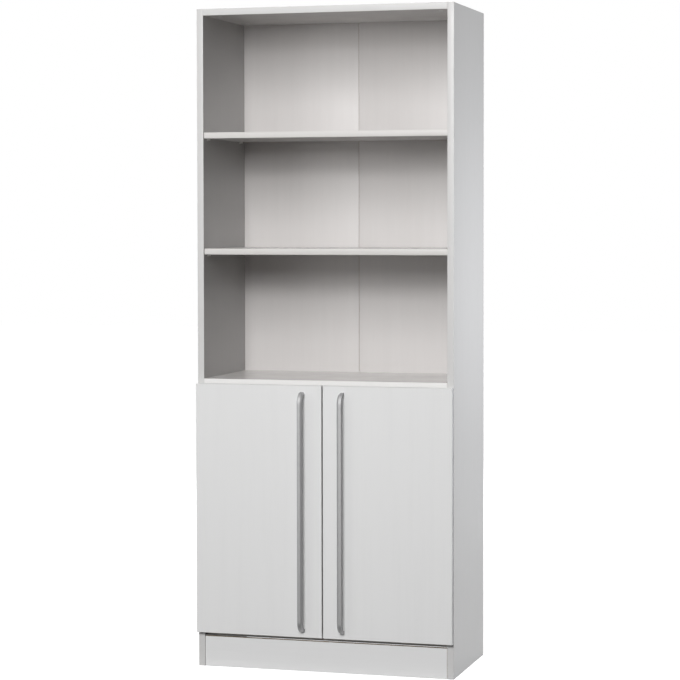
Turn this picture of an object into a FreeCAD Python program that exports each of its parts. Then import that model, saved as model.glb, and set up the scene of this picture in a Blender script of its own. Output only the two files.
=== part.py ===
import FreeCAD, Part
import Sketcher
import math
import os
from FreeCAD import Placement, Rotation, Vector

doc = FreeCAD.newDocument("Bookcase")
sheet = doc.addObject("Spreadsheet::Sheet", "Sizes")

# Driving sizes in mm, each written once
size = {
    "width": 800.0,
    "height": 2000.0,
    "depth": 400.0,
    "outerBoard": 20.0,
    "shelfBoard": 18.0,
    "backBoard": 3.0,
    "jointGap": 0.3,
    "fitGap": 0.1,
    "endPlay": 0.5,
    "plugGap": 0.05,
    "topSetback": 1.0,
    "plinthSetback": 1.5,
    "bottomSetback": 20.0,
    "plinthHeight": 92.0,
    "plinthBoard": 16.0,
    "fixedShelfTop": 880.0,
    "middleShelfBase": 1257.0,
    "upperShelfBase": 1609.0,
    "cabinetShelfBase": 480.0,
    "shelfSetback": 6.0,
    "cabinetShelfSetback": 20.0,
    "shelfEndGap": 0.5,
    "shelfBackGap": 1.5,
    "backLand": 5.0,
    "grooveWidth": 3.2,
    "grooveDepth": 8.0,
    "seamGap": 1.0,
    "stripWidth": 30.0,
    "stripBoard": 0.8,
    "doorBoard": 18.0,
    "doorBackGap": 2.0,
    "doorReveal": 0.5,
    "meetingGap": 4.0,
    "doorBase": 106.0,
    "doorTop": 866.0,
    "handleMargin": 19.0,
    "handleFootMargin": 17.0,
    "handleInset": 61.5,
    "handleWidth": 14.0,
    "handleDepth": 10.0,
    "handleReach": 35.0,
    "bevelWidth": 5.0,
    "bevelDepth": 4.0,
    "handleScrewRadius": 2.0,
    "handleScrewGrip": 8.0,
    "screwHeadRadius": 4.0,
    "screwHeadHeight": 1.6,
    "pinRadius": 2.5,
    "pinBore": 10.0,
    "pinReach": 9.0,
    "pinCollar": 4.0,
    "pinCollarDepth": 1.2,
    "pinTrim": 12.0,
    "rowInset": 37.0,
    "rowBackInset": 55.0,
    "camRadius": 7.5,
    "camHeight": 13.0,
    "camPlay": 0.4,
    "camSlotPlay": 0.4,
    "camSlotStart": 3.0,
    "camCross": 7.0,
    "camCrossWidth": 1.4,
    "camCrossDepth": 2.0,
    "camReach": 34.0,
    "camInset": 60.0,
    "camBackInset": 75.0,
    "boltRadius": 3.0,
    "boltBore": 4.0,
    "boltHead": 3.6,
    "boltHeadHeight": 3.0,
    "boltThread": 2.5,
    "boltThreadReach": 11.0,
    "dowelRadius": 4.0,
    "dowelLength": 30.0,
    "dowelSeat": 10.0,
    "dowelOffset": 32.0,
    "hingeMargin": 90.0,
    "cupCentre": 22.0,
    "cupRadius": 17.4,
    "cupDepth": 11.5,
    "cupWall": 0.8,
    "flangeLength": 58.0,
    "flangeWidth": 30.0,
    "flangeBoard": 1.2,
    "flangeShift": 2.0,
    "cupScrewOffset": 24.0,
    "cupScrewShift": 6.0,
    "woodScrewRadius": 1.75,
    "woodScrewHead": 3.2,
    "woodScrewNeck": 2.2,
    "flatHeadHeight": 1.2,
    "cupScrewLength": 10.0,
    "armPinX": 36.0,
    "armPinY": 28.0,
    "cupPinX": 9.5,
    "cupPinY": 8.3,
    "lugOuter": 2.6,
    "lugInner": 3.0,
    "lugRise": 4.5,
    "hingePin": 1.5,
    "linkBoard": 2.4,
    "linkWidth": 12.0,
    "linkEye": 3.0,
    "cheekBoard": 2.0,
    "armBack": 70.0,
    "armFront": 23.0,
    "armFoot": 24.0,
    "armTop": 40.0,
    "webFront": 35.0,
    "plateFront": 28.0,
    "plateLength": 22.0,
    "plateSpan": 50.0,
    "plateBoard": 2.0,
    "plateScrewOffset": 16.0,
    "blockFront": 40.0,
    "blockBack": 66.0,
    "blockBore": 10.0,
    "armScrewY": 55.0,
    "armScrewRadius": 2.5,
    "armScrewTip": 9.0,
    "armScrewHeadHeight": 1.8,
    "plateScrewLength": 13.0,
    "bumperRadius": 4.0,
    "bumperBoard": 1.7,
    "bumperInset": 30.0,
    "bumperEdge": 60.0,
    "bumperDrop": 5.5,
    "backScrewRadius": 1.5,
    "backScrewHead": 3.0,
    "backScrewLength": 16.0,
}
# Rows of points: dowel heights in the plinth, screw places across the back, and the bends of
# a hinge link as distance in from the outer face and distance back from the front edge
plinthDowels = (25.0, 70.0)
backScrewPlaces = (50.0, 190.0, 330.0)
linkBends = ((27.5, 6.0), (25.5, -1.0), (23.5, -7.6), (19.0, -11.0))

for row, (alias, value) in enumerate(size.items(), 1):
    sheet.set("A%d" % row, alias)
    sheet.set("B%d" % row, "%g" % value)
    sheet.setAlias("B%d" % row, alias)
doc.recompute()

# Stations shared by the pieces: x from the middle, y back, z up from the floor
reach = size["handleReach"] + size["doorBoard"] + size["doorBackGap"]
frontY = reach - (size["depth"] + reach) / 2
backY = frontY + size["depth"]
halfWidth = size["width"] / 2
innerX = halfWidth - size["outerBoard"]
grooveY = backY - size["backLand"] - size["grooveWidth"]
doorBackY = frontY - size["doorBackGap"]
doorFaceY = doorBackY - size["doorBoard"]
handleBase = size["doorBase"] + size["handleFootMargin"]
handleLength = size["doorTop"] - size["handleMargin"] - handleBase
boardHalf = size["outerBoard"] / 2
footHeights = (handleBase + size["handleDepth"] / 2,
               handleBase + handleLength - size["handleDepth"] / 2)
hingeHeights = (size["doorBase"] + size["hingeMargin"], size["doorTop"] - size["hingeMargin"])
pinRows = (size["rowInset"], size["depth"] - size["rowBackInset"])
camRows = (size["camInset"], size["depth"] - size["camBackInset"])
dowelRows = (camRows[0] + size["dowelOffset"], camRows[1] - size["dowelOffset"])
shelfBases = {
    "upper": size["upperShelfBase"],
    "middle": size["middleShelfBase"],
    "cabinet": size["cabinetShelfBase"],
}
boardBases = {
    "top": size["height"] - size["outerBoard"],
    "fixed": size["fixedShelfTop"] - size["outerBoard"],
    "bottom": size["plinthHeight"] + size["jointGap"],
}
made = {}


def keep(node, obj):
    """Name a finished piece after its node."""
    obj.Label = node
    made[node] = obj
    return obj


def bind(obj, prop, value):
    """A text value is a formula on the sheet; a number is a derived station."""
    if isinstance(value, str):
        obj.setExpression(prop, value)
    else:
        setattr(obj, prop, value)


def ref(name):
    return "Sizes." + name


# PartDesign helpers
def plane(body, role):
    return next(f for f in body.Origin.OriginFeatures if f.Role == role)


def sketchOn(body, role, offset=0.0):
    sketch = body.newObject("Sketcher::SketchObject", body.Name + "Sketch")
    sketch.AttachmentSupport = [(plane(body, role), "")]
    sketch.MapMode = "FlatFace"
    if isinstance(offset, str):
        sketch.setExpression(".AttachmentOffset.Base.z", offset)
    else:
        sketch.AttachmentOffset = Placement(Vector(0, 0, offset), Rotation())
    return sketch


def fix(sketch, geo, point, x, y):
    """Place one sketch point from the sketch origin."""
    for kind, value in (("DistanceX", x), ("DistanceY", y)):
        start = 1.0 if isinstance(value, str) else value
        index = sketch.addConstraint(Sketcher.Constraint(kind, -1, 1, geo, point, start))
        if isinstance(value, str):
            sketch.setExpression("Constraints[%d]" % index, value)


def rectangle(sketch, x0, y0, x1, y1):
    corners = [Vector(0, 0, 0), Vector(9, 0, 0), Vector(9, 9, 0), Vector(0, 9, 0)]
    first = sketch.GeometryCount
    for i in range(4):
        sketch.addGeometry(Part.LineSegment(corners[i], corners[(i + 1) % 4]), False)
    for i in range(4):
        nextLine = first + (i + 1) % 4
        sketch.addConstraint(Sketcher.Constraint("Coincident", first + i, 2, nextLine, 1))
        sketch.addConstraint(Sketcher.Constraint("Vertical" if i % 2 else "Horizontal", first + i))
    fix(sketch, first, 1, x0, y0)
    fix(sketch, first + 2, 1, x1, y1)


def circle(sketch, x, y, radius):
    geo = sketch.addGeometry(Part.Circle(Vector(1, 1, 0), Vector(0, 0, 1), 1), False)
    fix(sketch, geo, 3, x, y)
    index = sketch.addConstraint(Sketcher.Constraint("Radius", geo, 1.0))
    sketch.setExpression("Constraints[%d]" % index, radius)


def board(node, role, across, along, thickness, at):
    """A rectangular board padded from one of its own origin planes."""
    body = doc.addObject("PartDesign::Body", node)
    sketch = sketchOn(body, role)
    rectangle(sketch, 0.0, 0.0, across, along)
    pad = body.newObject("PartDesign::Pad", node + "Pad")
    pad.Profile = sketch
    bind(pad, "Length", thickness)
    body.Placement = Placement(Vector(*at), Rotation())
    return keep(node, body)


def pocket(body, sketch, depth, intoNormal):
    cut = body.newObject("PartDesign::Pocket", body.Name + "Cut")
    cut.Profile = sketch
    bind(cut, "Length", depth)
    cut.Reversed = intoNormal
    return cut


def drill(body, role, offset, centres, radius, depth, intoNormal):
    sketch = sketchOn(body, role, offset)
    for x, y in centres:
        circle(sketch, x, y, radius)
    return pocket(body, sketch, depth, intoNormal)


def trench(body, role, offset, corners, depth, intoNormal):
    sketch = sketchOn(body, role, offset)
    rectangle(sketch, *corners)
    return pocket(body, sketch, depth, intoNormal)


# Part helpers
def box(name, length, width, height, at):
    obj = doc.addObject("Part::Box", name)
    for prop, value in (("Length", length), ("Width", width), ("Height", height)):
        bind(obj, prop, value)
    obj.Placement = Placement(Vector(*at), Rotation())
    return obj


def rod(name, radius, height, at, axis):
    obj = doc.addObject("Part::Cylinder", name)
    bind(obj, "Radius", radius)
    bind(obj, "Height", height)
    obj.Placement = Placement(Vector(*at), Rotation(Vector(0, 0, 1), Vector(*axis)))
    return obj


def cone(name, r1, r2, height, at, axis):
    obj = doc.addObject("Part::Cone", name)
    bind(obj, "Radius1", r1)
    bind(obj, "Radius2", r2)
    bind(obj, "Height", height)
    obj.Placement = Placement(Vector(*at), Rotation(Vector(0, 0, 1), Vector(*axis)))
    return obj


def fuse(name, shapes):
    obj = doc.addObject("Part::MultiFuse", name)
    obj.Shapes = shapes
    return obj


def cut(name, base, tool):
    obj = doc.addObject("Part::Cut", name)
    obj.Base = base
    obj.Tool = tool
    return obj


def group(node, solids):
    obj = doc.addObject("Part::Compound", node)
    obj.Links = solids
    return keep(node, obj)


# Side panels
sideJoints = [(row, base + boardHalf) for base in boardBases.values() for row in camRows]
sideDowels = [(row, base + boardHalf) for base in boardBases.values() for row in dowelRows]
plinthY = size["plinthSetback"] + size["plinthBoard"] / 2
sideDowels += [(plinthY, z) for z in plinthDowels]
sidePins = [(row, base - size["pinRadius"]) for base in shelfBases.values() for row in pinRows]
plateHoles = [
    (size["rowInset"], z + dz)
    for z in hingeHeights
    for dz in (-size["plateScrewOffset"], size["plateScrewOffset"])
]


def sidePanel(node, left):
    x = -halfWidth if left else innerX
    inner = ref("outerBoard") if left else 0.0
    body = board(node, "YZ_Plane", ref("depth"), ref("height"), ref("outerBoard"), (x, frontY, 0.0))
    groove = (
        "Sizes.depth - Sizes.backLand - Sizes.grooveWidth",
        "Sizes.plinthHeight + Sizes.jointGap + Sizes.outerBoard - Sizes.grooveDepth",
        "Sizes.depth - Sizes.backLand",
        "Sizes.height",
    )
    trench(body, "YZ_Plane", inner, groove, ref("grooveDepth"), not left)
    drill(body, "YZ_Plane", inner, sideJoints, ref("boltThread"),
          "Sizes.boltThreadReach + Sizes.endPlay", not left)
    drill(body, "YZ_Plane", inner, sideDowels, "Sizes.dowelRadius + Sizes.plugGap",
          "Sizes.dowelSeat + Sizes.endPlay", not left)
    drill(body, "YZ_Plane", inner, sidePins, "Sizes.pinRadius + Sizes.plugGap",
          "Sizes.pinBore + Sizes.endPlay", not left)
    drill(body, "YZ_Plane", inner, plateHoles, ref("woodScrewRadius"),
          ref("plateScrewLength"), not left)
    return body


sidePanel("left_side_panel", True)
sidePanel("right_side_panel", False)

# Boards held between the sides with cam bolts and dowels
boardLength = "Sizes.width - 2 * Sizes.outerBoard - 2 * Sizes.jointGap"
boardX = -innerX + size["jointGap"]
boardSpan = 2 * innerX - 2 * size["jointGap"]


def carcassBoard(node, base, depth, setback, grooveOffset):
    body = board(node, "XY_Plane", boardLength, depth, ref("outerBoard"),
                 (boardX, frontY + setback, boardBases[base]))
    cams = [(x, row - setback) for row in camRows
            for x in (size["camReach"], boardSpan - size["camReach"])]
    drill(body, "XY_Plane", 0.0, cams, "Sizes.camRadius + Sizes.fitGap",
          "Sizes.camHeight + Sizes.camPlay", True)
    bolts = [(row - setback, boardHalf) for row in camRows]
    pegs = [(row - setback, boardHalf) for row in dowelRows]
    for offset, inward in ((0.0, True), (boardLength, False)):
        drill(body, "YZ_Plane", offset, bolts, ref("boltBore"), ref("camReach"), inward)
        drill(body, "YZ_Plane", offset, pegs, "Sizes.dowelRadius + Sizes.plugGap",
              "Sizes.dowelLength - Sizes.dowelSeat + Sizes.endPlay", inward)
    if grooveOffset is not None:
        upward = grooveOffset == 0.0
        front = "Sizes.depth - Sizes.backLand - Sizes.grooveWidth - %g" % setback
        rear = "Sizes.depth - Sizes.backLand - %g" % setback
        trench(body, "XY_Plane", grooveOffset, (0.0, front, boardLength, rear),
               ref("grooveDepth"), upward)
    return body


carcassBoard("top_panel", "top", "Sizes.depth - Sizes.topSetback", size["topSetback"], 0.0)
fixedDepth = "Sizes.depth - Sizes.backLand - Sizes.grooveWidth - Sizes.jointGap"
carcassBoard("fixed_shelf", "fixed", fixedDepth, 0.0, None)
carcassBoard("bottom_panel", "bottom", "Sizes.depth - Sizes.bottomSetback",
             size["bottomSetback"], ref("outerBoard"))
backScrewX = [side * x for side in (-1, 1) for x in backScrewPlaces]
drill(made["fixed_shelf"], "XZ_Plane", -(grooveY - frontY - size["jointGap"]),
      [(x - boardX, boardHalf) for x in backScrewX], ref("backScrewRadius"),
      ref("backScrewLength"), True)


# Loose shelves resting on pins
def looseShelf(node, base, setback, setbackName):
    length = "Sizes.width - 2 * Sizes.outerBoard - 2 * Sizes.shelfEndGap"
    deep = ("Sizes.depth - Sizes.backLand - Sizes.grooveWidth - Sizes.shelfBackGap - "
            + ref(setbackName))
    return board(node, "XY_Plane", length, deep, ref("shelfBoard"),
                 (-innerX + size["shelfEndGap"], frontY + setback, shelfBases[base]))


looseShelf("upper_shelf", "upper", size["shelfSetback"], "shelfSetback")
looseShelf("middle_shelf", "middle", size["shelfSetback"], "shelfSetback")
looseShelf("cabinet_shelf", "cabinet", size["cabinetShelfSetback"], "cabinetShelfSetback")

# Plinth board, standing on the floor between the sides
plinth = board("plinth_board", "XZ_Plane", boardLength, ref("plinthHeight"), ref("plinthBoard"),
               (boardX, frontY + size["plinthSetback"] + size["plinthBoard"], 0.0))
for offset, inward in ((0.0, True), (boardLength, False)):
    sketch = sketchOn(plinth, "YZ_Plane", offset)
    for z in plinthDowels:
        geo = sketch.addGeometry(Part.Circle(Vector(-8, z, 0), Vector(0, 0, 1), 4), False)
        sketch.addConstraint(Sketcher.Constraint("DistanceX", geo, 3, -1, 1,
                                                 size["plinthBoard"] / 2))
        sketch.addConstraint(Sketcher.Constraint("DistanceY", -1, 1, geo, 3, z))
        index = sketch.addConstraint(Sketcher.Constraint("Radius", geo, 4.0))
        sketch.setExpression("Constraints[%d]" % index, "Sizes.dowelRadius + Sizes.plugGap")
    pocket(plinth, sketch, "Sizes.dowelLength - Sizes.dowelSeat + Sizes.endPlay", inward)

# Back boards in the grooves, meeting in the middle, with a strip over the seam
backBase = boardBases["bottom"] + size["outerBoard"] - size["grooveDepth"] + size["jointGap"]
backTop = boardBases["top"] + size["grooveDepth"] - size["jointGap"]
backHeight = backTop - backBase
backEdge = innerX + size["grooveDepth"] - size["jointGap"]
backWide = backEdge - size["seamGap"] / 2
backRearY = grooveY + size["fitGap"] + size["backBoard"]
backScrewZ = boardBases["fixed"] + boardHalf
for node, x in (("back_panel_left", -backEdge), ("back_panel_right", size["seamGap"] / 2)):
    panel = board(node, "XZ_Plane", backWide, backHeight, ref("backBoard"), (x, backRearY, backBase))
    holes = [(sx - x, backScrewZ - backBase) for sx in backScrewX if x < sx < x + backWide]
    drill(panel, "XZ_Plane", 0.0, holes, "Sizes.backScrewRadius + Sizes.plugGap",
          "Sizes.backBoard", True)
stripBase = boardBases["bottom"] + size["outerBoard"] + size["jointGap"]
stripHeight = boardBases["top"] - size["jointGap"] - stripBase
board("back_joint_strip", "XZ_Plane", ref("stripWidth"), stripHeight, ref("stripBoard"),
      (-size["stripWidth"] / 2, backRearY + size["stripBoard"], stripBase))

# Shelf pins with a collar against the side
for name, base in shelfBases.items():
    pins = []
    for side in (-1, 1):
        for i, row in enumerate(pinRows):
            z = base - size["pinRadius"]
            wall = side * innerX
            tag = "%sPin%d%d" % (name, side + 1, i)
            stem = rod(tag + "Stem", ref("pinRadius"), "Sizes.pinBore + Sizes.pinReach",
                       (wall + side * size["pinBore"], frontY + row, z), (-side, 0, 0))
            collar = rod(tag + "Collar", ref("pinCollar"), ref("pinCollarDepth"),
                         (wall, frontY + row, z), (-side, 0, 0))
            trim = box(tag + "Trim", ref("pinTrim"), ref("pinTrim"), ref("pinTrim"),
                       (wall - size["pinTrim"] / 2, frontY + row - size["pinTrim"] / 2, base))
            pins.append(cut(tag, fuse(tag + "Whole", [stem, collar]), trim))
    group(name + "_shelf_pins", pins)

# Cam bolts, cam discs and wooden dowels
camBolts, camDiscs, dowels = [], [], []
crossArms = (size["camCross"], size["camCrossWidth"])
for name, base in boardBases.items():
    z = base + boardHalf
    for side in (-1, 1):
        wall = side * innerX
        end = side * (innerX - size["jointGap"])
        for i, row in enumerate(camRows):
            y = frontY + row
            tag = "%sCam%d%d" % (name, side + 1, i)
            headX = end - side * (size["camReach"] + size["boltHeadHeight"] / 2)
            shank = rod(tag + "Shank", ref("boltRadius"),
                        "Sizes.camReach + Sizes.jointGap + Sizes.boltHeadHeight / 2",
                        (headX, y, z), (side, 0, 0))
            thread = rod(tag + "Thread", ref("boltThread"), ref("boltThreadReach"),
                         (wall, y, z), (side, 0, 0))
            head = rod(tag + "Head", ref("boltHead"), ref("boltHeadHeight"),
                       (headX, y, z), (side, 0, 0))
            camBolts.append(fuse(tag + "Bolt", [shank, thread, head]))
            discX = end - side * size["camReach"]
            disc = rod(tag + "Disc", ref("camRadius"), ref("camHeight"), (discX, y, base), (0, 0, 1))
            slotWide = 2 * (size["boltHead"] + size["camSlotPlay"])
            slotEnds = sorted((discX - side * size["camSlotStart"],
                               discX + side * (size["camRadius"] + size["camSlotPlay"])))
            slot = box(tag + "Slot", slotEnds[1] - slotEnds[0], slotWide, slotWide,
                       (slotEnds[0], y - slotWide / 2, z - slotWide / 2))
            cross = fuse(tag + "Cross", [
                box("%sCross%d" % (tag, j), long, wide, ref("camCrossDepth"),
                    (discX - long / 2, y - wide / 2, base))
                for j, (long, wide) in enumerate((crossArms, crossArms[::-1]))
            ])
            camDiscs.append(cut(tag + "Lock", cut(tag + "Slotted", disc, slot), cross))
        for i, row in enumerate(dowelRows):
            dowels.append(rod("%sDowel%d%d" % (name, side + 1, i), ref("dowelRadius"),
                              ref("dowelLength"),
                              (side * (innerX + size["dowelSeat"]), frontY + row, z), (-side, 0, 0)))
for side in (-1, 1):
    for i, z in enumerate(plinthDowels):
        dowels.append(rod("plinthDowel%d%d" % (side + 1, i), ref("dowelRadius"), ref("dowelLength"),
                          (side * (innerX + size["dowelSeat"]), frontY + plinthY, z), (-side, 0, 0)))
group("cam_bolts", camBolts)
group("cam_discs", camDiscs)
group("wood_dowels", dowels)

# Screws through the back boards into the fixed shelf
backScrews = []
for i, x in enumerate(backScrewX):
    shank = rod("backScrew%dShank" % i, ref("backScrewRadius"), ref("backScrewLength"),
                (x, backRearY, backScrewZ), (0, -1, 0))
    head = cone("backScrew%dHead" % i, ref("backScrewHead"), ref("backScrewRadius"),
                ref("flatHeadHeight"), (x, backRearY + size["flatHeadHeight"], backScrewZ),
                (0, -1, 0))
    backScrews.append(fuse("backScrew%d" % i, [shank, head]))
group("back_screws", backScrews)


# Doors, handles and hinges; side is -1 for the left and 1 for the right
def handle(node, side):
    body = doc.addObject("PartDesign::Body", node)
    reach = size["handleReach"]
    half = size["handleDepth"] / 2
    bend = reach - half
    path = sketchOn(body, "YZ_Plane")
    top = handleLength - reach
    low = path.addGeometry(Part.ArcOfCircle(
        Part.Circle(Vector(0, reach, 0), Vector(0, 0, 1), bend), math.pi, 1.5 * math.pi), False)
    bar = path.addGeometry(Part.LineSegment(Vector(-bend, reach, 0), Vector(-bend, top, 0)), False)
    high = path.addGeometry(Part.ArcOfCircle(
        Part.Circle(Vector(0, top, 0), Vector(0, 0, 1), bend), 0.5 * math.pi, math.pi), False)
    path.addConstraint(Sketcher.Constraint("Tangent", low, 1, bar, 1))
    path.addConstraint(Sketcher.Constraint("Tangent", bar, 2, high, 2))
    path.addConstraint(Sketcher.Constraint("PointOnObject", low, 3, -2))
    path.addConstraint(Sketcher.Constraint("PointOnObject", low, 2, -2))
    path.addConstraint(Sketcher.Constraint("PointOnObject", high, 3, -2))
    path.addConstraint(Sketcher.Constraint("PointOnObject", high, 1, -2))
    path.addConstraint(Sketcher.Constraint("Vertical", bar))
    index = path.addConstraint(Sketcher.Constraint("Radius", low, bend))
    path.setExpression("Constraints[%d]" % index, "Sizes.handleReach - Sizes.handleDepth / 2")
    index = path.addConstraint(Sketcher.Constraint("DistanceY", -1, 1, low, 3, reach))
    path.setExpression("Constraints[%d]" % index, ref("handleReach"))
    index = path.addConstraint(Sketcher.Constraint("DistanceY", -1, 1, high, 3, top))
    path.setExpression("Constraints[%d]" % index,
                       "Sizes.doorTop - Sizes.handleMargin - Sizes.doorBase"
                       " - Sizes.handleFootMargin - Sizes.handleReach")
    # the front corner on the side of the other door is bevelled
    wide, deep = size["handleWidth"], size["handleDepth"]
    if side < 0:
        points = [(0.0, 0.0), ("Sizes.handleWidth - Sizes.bevelWidth", 0.0),
                  (ref("handleWidth"), ref("bevelDepth")),
                  (ref("handleWidth"), ref("handleDepth")), (0.0, ref("handleDepth"))]
        start = [(0, 0), (wide - size["bevelWidth"], 0), (wide, size["bevelDepth"]),
                 (wide, deep), (0, deep)]
    else:
        points = [(ref("bevelWidth"), 0.0), (ref("handleWidth"), 0.0),
                  (ref("handleWidth"), ref("handleDepth")), (0.0, ref("handleDepth")),
                  (0.0, ref("bevelDepth"))]
        start = [(size["bevelWidth"], 0), (wide, 0), (wide, deep), (0, deep),
                 (0, size["bevelDepth"])]
    section = sketchOn(body, "XZ_Plane")
    count = len(start)
    for i in range(count):
        a, b = start[i], start[(i + 1) % count]
        section.addGeometry(Part.LineSegment(Vector(a[0], a[1], 0), Vector(b[0], b[1], 0)), False)
    for i in range(count):
        section.addConstraint(Sketcher.Constraint("Coincident", i, 2, (i + 1) % count, 1))
        fix(section, i, 1, *points[i])
    pipe = body.newObject("PartDesign::AdditivePipe", node + "Bar")
    pipe.Profile = section
    pipe.Spine = path
    for x, z in ((wide / 2, half), (wide / 2, handleLength - half)):
        drill(body, "XZ_Plane", 0.0, [(x, z)], ref("handleScrewRadius"), ref("handleScrewGrip"), True)
    x = side * size["handleInset"] - wide / 2
    body.Placement = Placement(Vector(x, doorFaceY, handleBase), Rotation())
    return keep(node, body)


def fromEdge(side, distance):
    """X at a distance in from the outer face on one side."""
    return side * (halfWidth - distance)


def span(side, near, far):
    """Lower x of a stretch between two distances in from the outer face."""
    return min(fromEdge(side, near), fromEdge(side, far))


def hinge(side, word):
    plates, arms, links, cups = [], [], [], []
    plateScrews, armScrews, cupScrews = [], [], []
    armPin = (fromEdge(side, size["armPinX"]), frontY + size["armPinY"])
    cupPin = (fromEdge(side, size["cupPinX"]), frontY - size["cupPinY"])
    cheekIn = size["linkWidth"] / 2 + size["jointGap"]
    cheekOut = cheekIn + size["cheekBoard"]
    for i, z in enumerate(hingeHeights):
        tag = "%sHinge%d" % (word, i)
        # plate on the side panel with a block that the arm straddles
        near = size["outerBoard"]
        wing = box(tag + "Wing", ref("plateBoard"), ref("plateLength"), ref("plateSpan"),
                   (span(side, near, near + size["plateBoard"]), frontY + size["plateFront"],
                    z - size["plateSpan"] / 2))
        blockTop = size["armTop"] - size["cheekBoard"] - size["jointGap"]
        block = box(tag + "Block", blockTop - near, size["blockBack"] - size["blockFront"],
                    2 * (cheekIn - size["jointGap"]),
                    (span(side, near, blockTop), frontY + size["blockFront"],
                     z - cheekIn + size["jointGap"]))
        hole = rod(tag + "BlockHole", "Sizes.armScrewRadius - Sizes.endPlay", ref("blockBore"),
                   (fromEdge(side, blockTop), frontY + size["armScrewY"], z), (side, 0, 0))
        plateHolesCut = [
            rod(tag + "PlateHole%d" % j, "Sizes.woodScrewRadius + Sizes.fitGap", 6.0,
                (fromEdge(side, near + 4), frontY + size["rowInset"], z + dz), (side, 0, 0))
            for j, dz in enumerate((-size["plateScrewOffset"], size["plateScrewOffset"]))
        ]
        plates.append(cut(tag + "Plate", fuse(tag + "PlateWhole", [wing, block]),
                          fuse(tag + "PlateHoles", [hole] + plateHolesCut)))
        for j, dz in enumerate((-size["plateScrewOffset"], size["plateScrewOffset"])):
            x = fromEdge(side, near + size["plateBoard"])
            plateScrews.append(fuse(tag + "PlateScrew%d" % j, [
                rod(tag + "PlateShank%d" % j, "Sizes.woodScrewRadius",
                    "Sizes.plateScrewLength + Sizes.plateBoard - Sizes.endPlay",
                    (x, frontY + size["rowInset"], z + dz), (side, 0, 0)),
                cone(tag + "PlateHead%d" % j, ref("woodScrewNeck"), ref("woodScrewHead"), ref("screwHeadHeight"),
                     (x, frontY + size["rowInset"], z + dz), (-side, 0, 0)),
            ]))
        # arm: two cheeks joined by a web, carrying the rear pivot
        cheeks = [
            box(tag + "Cheek%d" % j, size["armTop"] - size["armFoot"],
                size["armBack"] - size["armFront"], ref("cheekBoard"),
                (span(side, size["armFoot"], size["armTop"]), frontY + size["armFront"], low))
            for j, low in enumerate((z - cheekOut, z + cheekIn))
        ]
        web = box(tag + "Web", ref("cheekBoard"), size["armBack"] - size["webFront"], 2 * cheekOut,
                  (span(side, size["armTop"] - size["cheekBoard"], size["armTop"]),
                   frontY + size["webFront"], z - cheekOut))
        bores = fuse(tag + "ArmBores", [
            rod(tag + "PinBore", "Sizes.hingePin + Sizes.plugGap", 2 * cheekOut + 2,
                (armPin[0], armPin[1], z - cheekOut - 1), (0, 0, 1)),
            rod(tag + "WebHole", "Sizes.armScrewRadius + Sizes.fitGap", 6.0,
                (fromEdge(side, size["armTop"] + 1), frontY + size["armScrewY"], z), (side, 0, 0)),
        ])
        arms.append(cut(tag + "Arm", fuse(tag + "ArmWhole", cheeks + [web]), bores))
        x = fromEdge(side, size["armTop"])
        armScrews.append(fuse(tag + "ArmScrew", [
            rod(tag + "ArmShank", ref("armScrewRadius"), size["cheekBoard"] + size["jointGap"] / 2,
                (x, frontY + size["armScrewY"], z), (side, 0, 0)),
            rod(tag + "ArmTip", "Sizes.armScrewRadius - Sizes.endPlay", ref("armScrewTip"),
                (x, frontY + size["armScrewY"], z), (side, 0, 0)),
            rod(tag + "ArmHead", ref("screwHeadRadius"), ref("armScrewHeadHeight"),
                (x, frontY + size["armScrewY"], z), (-side, 0, 0)),
        ]))
        # link: a bent strip with a pin at each end
        bends = [(size["armPinX"], size["armPinY"]), *linkBends,
                 (size["cupPinX"], -size["cupPinY"])]
        spine = [Vector(fromEdge(side, u), frontY + v, z - size["linkWidth"] / 2) for u, v in bends]
        strip = Part.Face(Part.makePolygon(spine).makeOffset2D(
            size["linkBoard"] / 2, 0, False, False, False))
        solid = strip.extrude(Vector(0, 0, size["linkWidth"]))
        for cx, cy in (armPin, cupPin):
            pin = Part.makeCylinder(size["hingePin"], 2 * cheekOut,
                                    Vector(cx, cy, z - cheekOut), Vector(0, 0, 1))
            solid = solid.fuse(pin)
        eye = Part.makeCylinder(size["linkEye"], size["linkWidth"],
                                Vector(armPin[0], armPin[1], spine[0].z), Vector(0, 0, 1))
        link = doc.addObject("Part::Feature", tag + "Link")
        link.Shape = solid.fuse(eye).removeSplitter()
        links.append(link)
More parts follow.
